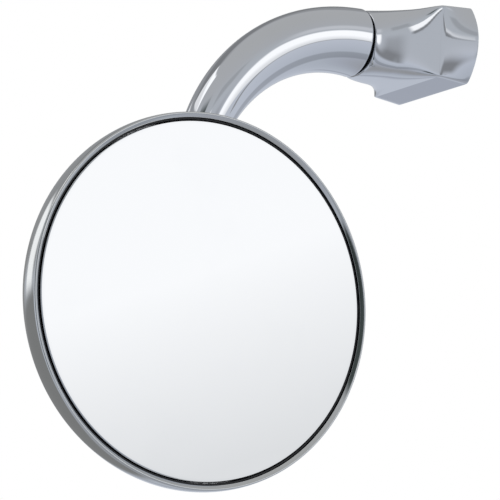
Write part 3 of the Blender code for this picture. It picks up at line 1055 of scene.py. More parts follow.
@dataclass
class Head:
    """Spun shell with a rolled bead, and the convex glass that it holds."""

    ball_depth: float = 0.0145
    bead_centre: Point2 = (0.0468, 0.0029)
    bead_half: Point2 = (0.0042, 0.0082)
    lip_angle: float = -22.97
    back_angle: float = 78.0
    curl: tuple[Corner, ...] = (
        (0.0503, -0.00055, 0.0002),
        (0.0493, 0.00045, 0.0001),
        (0.0494, 0.0008, 0.0001),
        (0.0499, 0.0012, 0.0),
    )
    curl_back: float = 0.0014
    dome_depth: float = 0.0165
    hole_r: float = 0.0083
    wall: float = 0.0008
    glass_r: float = 0.0485
    glass_front: Point2 = (-0.0006, 0.0004)
    glass_thickness: float = 0.0020
    ground_edge: float = 0.00025
    foam_r: float = 0.0460
    foam_back: float = 0.0045

    def __post_init__(self) -> None:
        """Find the middle of the plane that depths start from."""
        self.centre = BALL - Vector((0.0, self.ball_depth, 0.0))

    def shell_outline(self) -> list[Point2]:
        """Outer side of the shell, from the hole at the back out to the front lip.

        Returns:
            (radius, depth) pairs.
        """
        centre_r, centre_depth = self.bead_centre
        half_r, half_depth = self.bead_half
        bead = []
        for i in range(33):
            angle = math.radians(self.back_angle + (self.lip_angle - self.back_angle) * i / 32)
            bead.append(
                (centre_r + half_r * math.cos(angle), centre_depth + half_depth * math.sin(angle))
            )
        edge_r, edge_depth = bead[0]
        sag = self.dome_depth - edge_depth
        bend = (edge_r**2 + sag**2) / (2 * sag)
        dome = []
        for i in range(36):
            r = self.hole_r + (edge_r - self.hole_r) * i / 36
            dome.append((r, self.dome_depth - bend + math.sqrt(bend**2 - r**2)))
        return dome + bead

    def build_shell(self) -> bpy.types.Mesh:
        """Shell of an even wall, with its lip curled in towards the glass.

        Returns:
            The closed mesh.
        """
        outer = [Vector(p) for p in self.shell_outline()]
        inner, sides = [], []
        for i, point in enumerate(outer):
            along = outer[min(i + 1, len(outer) - 1)] - outer[max(i - 1, 0)]
            side = Vector((along.y, -along.x)).normalized()
            sides.append(side)
            inner.append(point + side * self.wall)
        profile = [tuple(p) for p in outer]
        curl = [(*outer[-1], 0.0), *self.curl]
        profile += softened(curl, closed=False)[1:]
        profile += [tuple(p) for p in reversed(inner) if p.y > self.curl_back]
        profile += self.rounded_end(inner[0], outer[0])
        return turned("back_shell", profile, self.centre, Axis.DEPTH, 224)

    def rounded_end(self, start: Vector, end: Vector) -> list[Point2]:
        """Points of a half circle that closes the wall from one side to the other.

        Args:
            start: the one side's end.
            end: the other side's end.

        Returns:
            The points between them.
        """
        middle, arm = (start + end) / 2, (start - end) / 2
        points = []
        for k in range(1, 6):
            turn = math.pi * k / 6
            points.append(tuple(middle + Matrix.Rotation(-turn, 2) @ arm))
        return points

    def glass_face(self, radius: float) -> float:
        """Depth of the glass's front at a radius.

        Args:
            radius: distance from the axis.

        Returns:
            The depth.
        """
        middle, edge = self.glass_front
        sag = edge - middle
        bend = (self.glass_r**2 + sag**2) / (2 * sag)
        return middle + bend - math.sqrt(bend**2 - radius**2)

    def build_glass(self) -> bpy.types.Mesh:
        """Convex glass with a ground edge.

        Returns:
            The closed mesh.
        """
        step, thick = self.ground_edge, self.glass_thickness
        radii = [(self.glass_r - step) * i / 30 for i in range(31)]
        front = [(r, self.glass_face(r)) for r in radii]
        rim = self.glass_face(self.glass_r)
        edge = [(self.glass_r, rim + step), (self.glass_r, rim + thick - step)]
        back = [(r, depth + thick) for r, depth in reversed(front)]
        return turned("mirror_glass", front + edge + back, self.centre, Axis.DEPTH, 224)

    def build_gasket(self) -> bpy.types.Mesh:
        """Rubber edging between the glass and the rolled lip.

        Returns:
            The closed mesh.
        """
        inner = self.glass_r + 0.0003
        corners = [
            (inner, 0.0011, 0.0001),
            (0.0493, 0.0011, 0.0001),
            (0.0497, 0.0016, 0.0002),
            (0.0497, 0.0025, 0.0001),
            (inner, 0.0025, 0.0001),
        ]
        return turned("glass_gasket", softened(corners), self.centre, Axis.DEPTH, 192)

    def build_foam(self) -> bpy.types.Mesh:
        """Foam disc that follows the back of the glass, with its edge squeezed round.

        Returns:
            The closed mesh.
        """
        gap = self.glass_thickness + 0.0003
        front = [(r, self.glass_face(r) + gap) for r in (0.0, 0.011, 0.022, 0.033, 0.042)]
        edge = self.glass_face(self.foam_r) + gap
        corners = [(r, d, 0.0) for r, d in front]
        corners += [(self.foam_r, edge, 0.0003), (self.foam_r, self.foam_back, 0.0003)]
        corners += [(0.0, self.foam_back, 0.0)]
        return turned("foam_pad", softened(corners, closed=False), self.centre, Axis.DEPTH, 128)

    def make(self) -> None:
        """Build and dress the head."""
        steel = PolishedSteel(self.centre)
        add_piece("shell", self.build_shell(), steel, "head", ("back_shell",), 50.0)
        glass = MirrorGlass(self.centre, self.glass_r)
        add_piece("glass", self.build_glass(), glass, "head", ("mirror_glass",))
        add_piece("glass_edging", self.build_gasket(), Rubber(), "head", ("glass_gasket",))
        foam = add_piece("glass_backing", self.build_foam(), Foam(), "head", ("foam_pad",))
        dress("support_plate", ZincPlate())


# ---- ball joint ----


@dataclass
class BallJoint:
    """Ball stud, the cups and seats that hold it, and its fasteners behind the arm."""

    ball_r: float = 0.0055
    seat_r: Point2 = (0.0058, 0.0066)
    cup_r: Point2 = (0.0069, 0.0079)
    opening: float = 46.0
    flange_r: float = 0.0170
    shoulder_r: float = 0.0108
    neck_r: float = 0.0023
    shank_r: float = 0.0025
    hex_flat_r: float = 0.0040
    collar: Point2 = (0.0077, 0.0100)
    stud_end: float = 0.0257
    washer: Point2 = (0.0210, 0.0220)
    nut_start: float = 0.0223
    nut_hex: float = 0.0034

    def build_stud(self) -> bpy.types.Mesh:
        """Ball, neck, six-sided collar and shank.

        Returns:
            The closed mesh.
        """
        neck_angle = math.degrees(math.asin(self.neck_r / self.ball_r))
        low, high = self.collar
        end = self.stud_end
        corners = [
            (0.0, end, 0.0),
            (self.shank_r, end, 0.0004),
            (self.shank_r, high - 0.0005, 0.0),
            (self.neck_r, high - 0.0005, 0.0),
            (self.neck_r, low - 0.0003, 0.0),
        ]
        profile = softened(corners, closed=False) + ball_arc(self.ball_r, neck_angle, 180.0, 40)
        stud = turned("ball_stud", profile, BALL, Axis.DEPTH, 96)
        collar = hexagon("stud collar", self.hex_flat_r, self.collar, BALL, Axis.DEPTH)
        return combined(stud, [(Cut.JOIN, collar)])

    def build_washer(self) -> bpy.types.Mesh:
        """Flat washer with rounded edges.

        Returns:
            The closed mesh.
        """
        low, high = self.washer
        corners = [(0.0028, low, 0.0001), (0.0044, low, 0.00025)]
        corners += [(0.0044, high, 0.00025), (0.0028, high, 0.0001)]
        return turned("stud_washer", softened(corners), BALL, Axis.DEPTH, 96)

    def build_dome_nut(self) -> bpy.types.Mesh:
        """Dome nut with a turned-off hexagon and a blind bore.

        Returns:
            The closed mesh.
        """
        start, top = self.nut_start, self.nut_start + self.nut_hex
        dome_r = self.hex_flat_r - 0.0002
        nut = hexagon("dome_nut", self.hex_flat_r, (start, top), BALL, Axis.DEPTH)
        dome = [(0.0, start + 0.001), (dome_r, start + 0.001)]
        for i in range(25):
            angle = math.radians(90.0 * (1 - i / 24))
            dome.append((dome_r * math.sin(angle), top + dome_r * math.cos(angle)))
        cap = turned("nut dome", dome, BALL, Axis.DEPTH, 96)
        bore = rod("nut bore", 0.0028, (start - 0.001, start + 0.0040), BALL, Axis.DEPTH)
        return combined(nut, [(Cut.JOIN, cap), (Cut.REMOVE, bore)])

    def build_cup(self) -> bpy.types.Mesh:
        """Pressed socket cup with a shoulder and a flange.

        Returns:
            The closed mesh.
        """
        inner, outer = self.cup_r
        profile = ball_arc(outer, self.opening, 92.0)[:-1]
        corners = [
            (self.shoulder_r, 0.0005, 0.0002),
            (self.shoulder_r, -0.0007, 0.0002),
            (outer, -0.0007, 0.0001),
            (outer, -0.0016, 0.0002),
            (self.flange_r, -0.0016, 0.0003),
            (self.flange_r, -0.0028, 0.0003),
            (inner, -0.0028, 0.0003),
        ]
        profile = [p for p in profile if p[1] > 0.0007]
        profile += softened([(outer, 0.0005, 0.0), *corners, (inner, 0.0, 0.0)], closed=False)
        profile += ball_arc(inner, 90.0, self.opening)[1:]
        return turned("socket_cup", profile, BALL, Axis.DEPTH, 96)

    def make(self) -> None:
        """Build and dress the joint."""
        zinc = ZincPlate()
        add_piece("stud", self.build_stud(), zinc, "arm", ("ball_stud",))
        add_piece("washer", self.build_washer(), zinc, "arm", ("stud_washer",))
        add_piece("nut", self.build_dome_nut(), Chrome(), "arm", ("dome_nut",))
        add_piece("ball_cup", self.build_cup(), zinc, "head", ("socket_cup",))
        inner, outer = self.seat_r
        seat = ball_arc(outer, 44.0, 80.0) + ball_arc(inner, 80.0, 44.0)
        mesh = turned("rear_ball_seat", seat, BALL, Axis.DEPTH, 96)
        add_piece("rear_seat_ring", mesh, Nylon(), "rear_seat", ("rear_ball_seat",))
        dress("front_ball_seat", Nylon())
        dress("retainer_cup", zinc)


@dataclass
class TensionFasteners:
    """Three screws with springs and nuts, on a circle round the ball, that squeeze the cups."""

    count: int = 3
    circle_r: float = 0.0135
    shank_r: float = 0.00115
    head_r: float = 0.0023
    head: Point2 = (-0.0095, -0.0082)
    tip: float = 0.0001
    nut_r: float = 0.0022
    nut: Point2 = (-0.0013, 0.0)
    spring: Point2 = (-0.0076, -0.0054)
    spring_r: float = 0.0018
    wire_r: float = 0.00025
    turns: float = 2.5

    def sizes(self, finish: Finish, name: str) -> dict:
        """Values for the inputs that all three trees share.

        Args:
            finish: what the pieces are made of.
            name: the material's name.

        Returns:
            The values by input name.
        """
        return {
            "Count": self.count,
            "Circle radius": self.circle_r,
            "Centre": tuple(BALL),
            "Material": finish.material(name),
        }

    def build_screws(self, finish: Finish) -> bpy.types.Mesh:
        """Round-headed screws with a cross slot.

        Args:
            finish: what it is made of.

        Returns:
            The closed mesh.
        """
        front, back = self.head
        corners = [
            (0.0, self.tip, 0.0),
            (self.shank_r, self.tip, 0.0003),
            (self.shank_r, back, 0.0),
            (self.head_r, back, 0.0001),
            (self.head_r, front, 0.0007),
            (0.0, front, 0.0),
        ]
        origin = Vector()
        profile = softened(corners, closed=False)
        screw = turned("tension screw", profile, origin, Axis.DEPTH, 40)
        slots = []
        cut = (front - 0.001, front + 0.0007)
        for turn in (0.0, 90.0):
            slot = rod("driver slot", 0.0019, cut, origin, Axis.DEPTH, 4)
            slot.transform(Matrix.Diagonal((1.0, 1.0, 0.17, 1.0)))
            slot.transform(Matrix.Rotation(math.radians(turn), 4, "Y"))
            slots.append((Cut.REMOVE, slot))
        tree, points = round_axis_tree("screws round the ball")
        return tree.grown(
            "tension screws",
            on_points(tree, points, tree.base()),
            combined(screw, slots),
            self.sizes(finish, "tension screws"),
        )

    def build_nuts(self, finish: Finish) -> bpy.types.Mesh:
        """Small square-edged nuts behind the socket's flange.

        Args:
            finish: what it is made of.

        Returns:
            The closed mesh.
        """
        origin = Vector()
        bore_span = (self.nut[0] - 0.001, self.nut[1] + 0.001)
        bore = rod("tension bore", 0.00145, bore_span, origin, Axis.DEPTH, 32)
        flat_r = self.nut_r * math.cos(math.pi / 6)
        nut = hexagon("tension nut", flat_r, self.nut, origin, Axis.DEPTH)
        tree, points = round_axis_tree("nuts round the ball")
        return tree.grown(
            "tension nuts",
            on_points(tree, points, tree.base()),
            combined(nut, [(Cut.REMOVE, bore)]),
            self.sizes(finish, "tension nuts"),
        )

    def build_springs(self, finish: Finish) -> bpy.types.Mesh:
        """Coil springs: round wire along a spiral.

        Args:
            finish: what it is made of.

        Returns:
            The closed mesh.
        """
        tree, points = round_axis_tree("springs round the ball")
        coil_r, wire_r = tree.size("Coil radius"), tree.size("Wire radius")
        spiral = tree.node(
            "GeometryNodeCurveSpiral",
            {},
            {
                "Resolution": 28,
                "Rotations": tree.size("Turns"),
                "Start Radius": coil_r,
                "End Radius": coil_r,
                "Height": tree.size("Height"),
            },
        )
        round_wire = {"Resolution": 10, "Radius": wire_r}
        wire = tree.node("GeometryNodeCurvePrimitiveCircle", {}, round_wire)
        along = {"Curve": spiral, "Profile Curve": wire, "Fill Caps": True}
        coil = tree.node("GeometryNodeCurveToMesh", {}, along)
        stood = tree.node(
            "GeometryNodeTransform",
            {},
            {
                "Geometry": coil,
                "Translation": (0.0, self.spring[0], 0.0),
                "Rotation": (math.radians(-90.0), 0.0, 0.0),
            },
        )
        sizes = self.sizes(finish, "tension springs")
        sizes |= {"Coil radius": self.spring_r, "Wire radius": self.wire_r}
        sizes |= {"Turns": self.turns, "Height": self.spring[1] - self.spring[0]}
        empty = bpy.data.meshes.new("springs")
        return tree.grown("tension springs", on_points(tree, points, stood), empty, sizes)

    def make(self) -> None:
        """Build and dress the fasteners."""
        zinc = ZincPlate()
        for name, build in (
            ("tension_screw", self.build_screws),
            ("tension_nut", self.build_nuts),
            ("tension_spring", self.build_springs),
        ):
            nodes = tuple(f"{name}_{i + 1}" for i in range(self.count))
            add_piece(f"{name}s", build(zinc), zinc, "head", nodes)


# ---- arm ----


@dataclass
class Arm:
    """Tapered bent arm with a spigot that turns in the neck and an eye for the ball stud."""

    bend_r: float = 0.0517
    bend_angle: float = 77.6
    joint_r: float = 0.0104
    run_r: float = 0.0064
    end_rounding: float = 0.0006
    eye_r: float = 0.0076
    eye_half_width: float = 0.0052
    stud_hole_r: float = 0.0028
    spigot_r: float = 0.0056
    spigot_end: float = 0.0146
    groove: Point2 = (0.0073, 0.0107)
    groove_r: float = 0.0044
    groove_half_angle: float = 108.0
    sides: int = 144

    def ring(self, centre: Vector, along: Vector, half: Point2, power: float) -> list[Vector]:
        """One cross-section.

        Args:
            centre: its middle, from the joint.
            along: which way the arm runs there.
            half: half its width in the bend's plane, and half its width along Y.
            power: 2 for an ellipse, and more for a squarer outline.

        Returns:
            Its points.
        """
        across = Vector((along.z, 0.0, -along.x))
        points = []
        for i in range(self.sides):
            angle = 2 * math.pi * i / self.sides
            c, s = math.cos(angle), math.sin(angle)
            a = math.copysign(abs(c) ** (2 / power), c) * half[0]
            b = math.copysign(abs(s) ** (2 / power), s) * half[1]
            points.append(NECK_JOINT + centre + across * a + Vector((0.0, b, 0.0)))
        return points

    def spigot_ring(self, x: float, radius: float) -> list[Vector]:
        """One cross-section of the spigot, with the lock groove cut round the back.

        Args:
            x: distance from the joint.
            radius: the spigot's radius there.

        Returns:
            Its points.
        """
        low, high = self.groove
        points = []
        for i in range(self.sides):
            angle = 2 * math.pi * i / self.sides
            from_back = abs((math.degrees(angle) - 90.0 + 180.0) % 360.0 - 180.0)
            cut = low <= x <= high and from_back < self.groove_half_angle
            r = self.groove_r if cut else radius
            up, back = -r * math.cos(angle), r * math.sin(angle)
            points.append(NECK_JOINT + Vector((x, back, up)))
        return points

    def spigot_rings(self) -> list[list[Vector]]:
        """The spigot, from its tip to the arm's end face.

        Returns:
            The cross-sections in order.
        """
        r, end = self.spigot_r, self.spigot_end
        low, high = self.groove
        spans = [(end, r - 0.0006), (end - 0.0006, r), (high + 0.00001, r), (high, r)]
        spans += [(low, r), (low - 0.00001, r), (0.0, r)]
        return [self.spigot_ring(x, radius) for x, radius in spans]

    def bend_rings(self) -> list[list[Vector]]:
        """The rounded end and the bend, which narrows evenly.

        Returns:
            The cross-sections in order.
        """
        rings = []
        for i in range(7):
            turn = math.pi / 2 * i / 6
            r = self.joint_r - self.end_rounding * (1 - math.sin(turn))
            x = -self.end_rounding * (1 - math.cos(turn))
            rings.append(self.ring(Vector((x, 0.0, 0.0)), Vector((-1.0, 0.0, 0.0)), (r, r), 2.0))
        first = self.end_rounding / self.bend_r
        whole = math.radians(self.bend_angle)
        for i in range(1, 97):
            angle = first + (whole - first) * i / 96
            centre = Vector((-math.sin(angle), 0.0, math.cos(angle) - 1.0)) * self.bend_r
            along = Vector((-math.cos(angle), 0.0, -math.sin(angle)))
            r = self.joint_r + (self.run_r - self.joint_r) * angle / whole
            rings.append(self.ring(centre, along, (r, r), 2.0))
        return rings

    def eye_rings(self) -> list[list[Vector]]:
        """The straight run, flattened into a round-ended eye.

        Returns:
            The cross-sections in order.
        """
        angle = math.radians(self.bend_angle)
        start = Vector((-math.sin(angle), 0.0, math.cos(angle) - 1.0)) * self.bend_r
        eye = Vector((BALL.x - NECK_JOINT.x, 0.0, BALL.z - NECK_JOINT.z))
        along = (eye - start).normalized()
        length = (eye - start).length
        left = [length - (length - self.eye_r) * i / 34 for i in range(1, 35)]
        left += [self.eye_r * math.cos(math.pi * i / 64) for i in range(1, 64)]
        rings = []
        for q in left:
            bulge = math.sqrt(max(0.0, self.eye_r**2 - q**2))
            width = bulge
            if q >= 0:
                apart = math.sqrt((bulge - self.run_r) ** 2 + 1e-7 * min(1.0, q / 0.004))
                width = 0.5 * (bulge + self.run_r + apart)
            ease = min(1.0, max(0.0, (0.0150 - q) / 0.0070))
            ease = ease * ease * (3 - 2 * ease)
            thick = self.run_r + (self.eye_half_width - self.run_r) * ease
            rings.append(self.ring(eye - along * q, along, (width, thick), 2.0 + 10.0 * ease**2))
        rings.append(self.ring(eye + along * self.eye_r, along, (0.0, self.eye_half_width), 12.0))
        return rings

    def build(self) -> bpy.types.Mesh:
        """The whole arm as one skin, with the stud's hole cut through its eye.

        Returns:
            The closed mesh.
        """
        sections = self.spigot_rings() + self.bend_rings() + self.eye_rings()
        eye = Vector((BALL.x, NECK_JOINT.y, BALL.z))
        hole = rod("stud hole", self.stud_hole_r, (-0.01, 0.01), eye, Axis.DEPTH, 64)
        return combined(lofted("arm", sections), [(Cut.REMOVE, hole)])

    def make(self) -> None:
        """Build and dress the arm."""
        add_piece("bent_arm", self.build(), Chrome(), "arm", ("arm",), 40.0)


# ---- clamp ----


@dataclass
class ClampBody:
    """Cast body: round neck, flare, squared jaw and the hook that goes round the door's edge."""

    start: float = 0.0010
    neck_r: float = 0.0099
    neck_top: float = 0.0102
    neck_end: float = 0.0080
    slab: Point2 = (0.0193, 0.0292)
    near: float = -0.0177
    far: float = 0.0172
    top: float = 0.01235
    bottom: float = -0.00995
    flare: float = 0.00063
    top_flare: float = 0.00098
    bulge: float = 0.0046
    near_power: float = 1.7
    far_power: float = 2.5
    square: float = 46.0
    crease: float = 0.00045
    edge: float = 0.0004
    slot: Point2 = (0.0372, 0.0130)
    hook_end: float = 0.0427
    hook_y: Point2 = (0.0020, 0.0170)
    hook_z: tuple[float, float, float] = (0.0113, -0.0099, -0.0036)
    bore: Point2 = (0.0070, 0.0160)
    lock_x: float = 0.0090
    screw_hole_r: float = 0.0023
    set_screw_y: float = 0.0072
    set_screw_z: Point2 = (0.0078, 0.0006)
    per_octant: int = 18

    def directions(self) -> list[Point2]:
        """Directions round a section, closest together at the corners.

        Returns:
            (across, up) pairs.
        """
        eighth = [math.atan(1 - (1 - i / self.per_octant) ** 2) for i in range(self.per_octant)]
        quarter = eighth + [math.pi / 2 - a for a in [math.pi / 4] + eighth[:0:-1]]
        angles = [a + math.pi / 2 * k for k in range(4) for a in quarter]
        return [(math.cos(a), math.sin(a)) for a in angles]

    def smooth_min(self, first: float, second: float) -> float:
        """The smaller of two distances, with the change from one to the other rounded off."""
        return (first + second - math.sqrt((first - second) ** 2 + self.crease**2)) / 2

    def side(self, x: float, slab: float, begin: float, power: float) -> float:
        """How far the near or the far side is from the neck's middle line.

        Args:
            x: distance from the joint.
            slab: the side's distance where the jaw starts.
            begin: where the side begins to leave the neck.
            power: how suddenly it does so.

        Returns:
            The distance, with a slightly rounded crease where the jaw starts.
        """
        first, last = self.slab
        share = max(0.0, (x - begin) / (first - begin))
        flared = self.neck_r + (slab - self.neck_r) * share**power
        return self.smooth_min(flared, slab + self.flare * (x - first) / (last - first))

    def upper_side(self, x: float) -> float:
        """Height of the top, which grows from the joint on.

        Args:
            x: distance from the joint.

        Returns:
            The height above the neck's middle line.
        """
        first, last = self.slab
        share = (x - self.start) / (first - self.start)
        rising = self.neck_top + (self.top - self.neck_top) * share**0.8
        return self.smooth_min(rising, self.top + self.top_flare * (x - first) / (last - first))

    def lower_side(self, x: float) -> float:
        """Depth of the bottom, which is all but level.

        Args:
            x: distance from the joint.

        Returns:
            The depth below the neck's middle line.
        """
        first, last = self.slab
        if x <= first:
            share = max(0.0, (x - self.neck_end) / (first - self.neck_end))
            return self.neck_r + (-self.bottom - self.neck_r) * share
        return -self.bottom + self.flare * (x - first) / (last - first)

    def powers(self, x: float) -> Point2:
        """How square the lower and the upper half are at a distance from the joint.

        Args:
            x: distance from the joint.

        Returns:
            The lower half's power and the upper half's, where 2 is an ellipse.
        """
        share = min(1.0, max(0.0, (x - self.neck_end) / (self.slab[0] - self.neck_end)))
        whole = min(1.0, (x - self.start) / (self.slab[0] - self.start))
        late = share**9
        upper = 2.0 + 2.0 * whole + 6.0 * whole**4 + (self.square - 10.0) * late
        if x < self.neck_end:
            lower = 2.0 + 3.0 * min(1.0, (x - self.start) / (self.neck_end - self.start)) ** 0.6
        else:
            lower = 5.0 + 12.0 * share**3 + (self.square - 17.0) * late
        return lower, upper

    def section(self, x: float, inset: float) -> list[Vector]:
        """One cross-section, square to the neck.

        Args:
            x: distance from the joint.
            inset: how far it is drawn in, for a rounded end.

        Returns:
            Its points.
        """
        near = inset - self.side(x, -self.near, self.start, self.near_power)
        far = self.side(x, self.far, self.neck_end, self.far_power) - inset
        top = self.upper_side(x) - inset
        bottom = inset - self.lower_side(x)
        lower, upper = self.powers(x)
        share = max(0.0, (x - self.slab[0]) / (self.slab[1] - self.slab[0]))
        half, middle = (far - near) / 2, (far + near) / 2
        centre, half_height = (top + bottom) / 2, (top - bottom) / 2
        points = []
        for across, up in self.directions():
            power = upper if up >= 0 else lower
            reach = (abs(across) ** power + abs(up) ** power) ** (-1.0 / power)
            side, rise = across * reach, up * reach
            z = (top if up >= 0 else -bottom) * rise
            swell = max(0.0, 1.0 - ((z - centre) / half_height) ** 2) * max(0.0, -side) ** 14
            points.append(
                NECK_JOINT + Vector((x, middle + half * side - self.bulge * share * swell, z))
            )
        return points

    def build_blank(self) -> bpy.types.Mesh:
        """Neck, flare and jaw.

        Returns:
            The closed mesh.
        """
        stations = []
        for i in range(6):
            turn = math.pi / 2 * i / 5
            stations.append(
                (self.start + self.edge * (1 - math.cos(turn)), self.edge * (1 - math.sin(turn)))
            )
        first, last = self.slab
        xs = [self.start + self.edge + (self.neck_end - self.start - self.edge) * i / 12
              for i in range(1, 13)]
        xs += [self.neck_end + (first - 0.001 - self.neck_end) * i / 34 for i in range(1, 35)]
        xs += [first - 0.001 + 0.002 * i / 16 for i in range(1, 17)]
        xs += [first + 0.001 + (last - self.edge - first - 0.001) * i / 10 for i in range(1, 11)]
        stations += [(x, 0.0) for x in xs]
        for i in range(1, 6):
            turn = math.pi / 2 * i / 5
            stations.append(
                (last - self.edge * (1 - math.sin(turn)), self.edge * (1 - math.cos(turn)))
            )
        return lofted("clamp_body", [self.section(x, inset) for x, inset in stations])

    def build_hook(self) -> bpy.types.Mesh:
        """Web and inner jaw, with their edges broken.

        Returns:
            The closed mesh.
        """
        root = self.slab[1] - 0.0012
        end, (slot_x, slot_y), (low_y, high_y) = self.hook_end, self.slot, self.hook_y
        top, bottom, tip_bottom = self.hook_z
        corners = [
            (root, slot_y, 0.0),
            (self.slab[1], slot_y, 0.0),
            (slot_x, slot_y, 0.0012),
            (slot_x, low_y, 0.0010),
            (end, low_y, 0.0016),
            (end, high_y, 0.0042),
            (self.slab[1], high_y, 0.0),
            (root, high_y, 0.0),
        ]
        outline = softened(corners, steps=6)
        shape = bmesh.new()
        rings = []
        for upper in (False, True):
            ring = []
            for x, y in outline:
                share = min(1.0, max(0.0, (x - self.slab[1]) / (end - self.slab[1])))
                z = top if upper else bottom + (tip_bottom - bottom) * share
                ring.append(shape.verts.new(NECK_JOINT + Vector((x, y, z))))
            rings.append(ring)
        lower, raised = rings
        count = len(outline)
        for i in range(count):
            after = (i + 1) % count
            shape.faces.new((lower[i], lower[after], raised[after], raised[i]))
        shape.faces.new(raised)
        slab_end = NECK_JOINT.x + self.slab[1] + WELD
        inner = [v for v in lower if v.co.x < slab_end]
        outer = [v for v in lower if v.co.x > slab_end - 2 * WELD]
        shape.faces.new(inner)
        shape.faces.new(outer)
        bmesh.ops.recalc_face_normals(shape, faces=shape.faces)
        rims = [e for e in shape.edges if e.calc_face_angle(0.0) > math.radians(40.0)
                and max(v.co.x for v in e.verts) > slab_end]
        bmesh.ops.bevel(shape, geom=rims, offset=0.0006, segments=3, profile=0.6, affect="EDGES",
                        clamp_overlap=True)
        return closed_mesh("hook", shape)

    def build(self) -> bpy.types.Mesh:
        """The whole body, bored for the arm and drilled for the screws.

        Returns:
            The closed mesh.
        """
        bore_r, bore_end = self.bore
        steps = [(Cut.JOIN, self.build_hook())]
        span = (self.start - 0.001, bore_end)
        steps.append((Cut.REMOVE, rod("arm bore", bore_r, span, NECK_JOINT, Axis.NECK, 96)))
        at = NECK_JOINT + Vector((self.lock_x, 0.0, 0.0))
        lock = rod("lock hole", self.screw_hole_r, (0.005, 0.014), at, Axis.DEPTH)
        steps.append((Cut.REMOVE, lock))
        for z in self.set_screw_z:
            at = NECK_JOINT + Vector((0.0, self.set_screw_y, z))
            span = (self.slot[0] - 0.002, self.hook_end + 0.002)
            steps.append((Cut.REMOVE, rod("screw hole", self.screw_hole_r, span, at, Axis.NECK)))
        return combined(self.build_blank(), steps)

    def make(self) -> None:
        """Build and dress the body."""
        mesh = dressed("clamp", self.build())
        add_piece("clamp", mesh, Chrome(), "clamp", ("clamp_body",), 38.0)


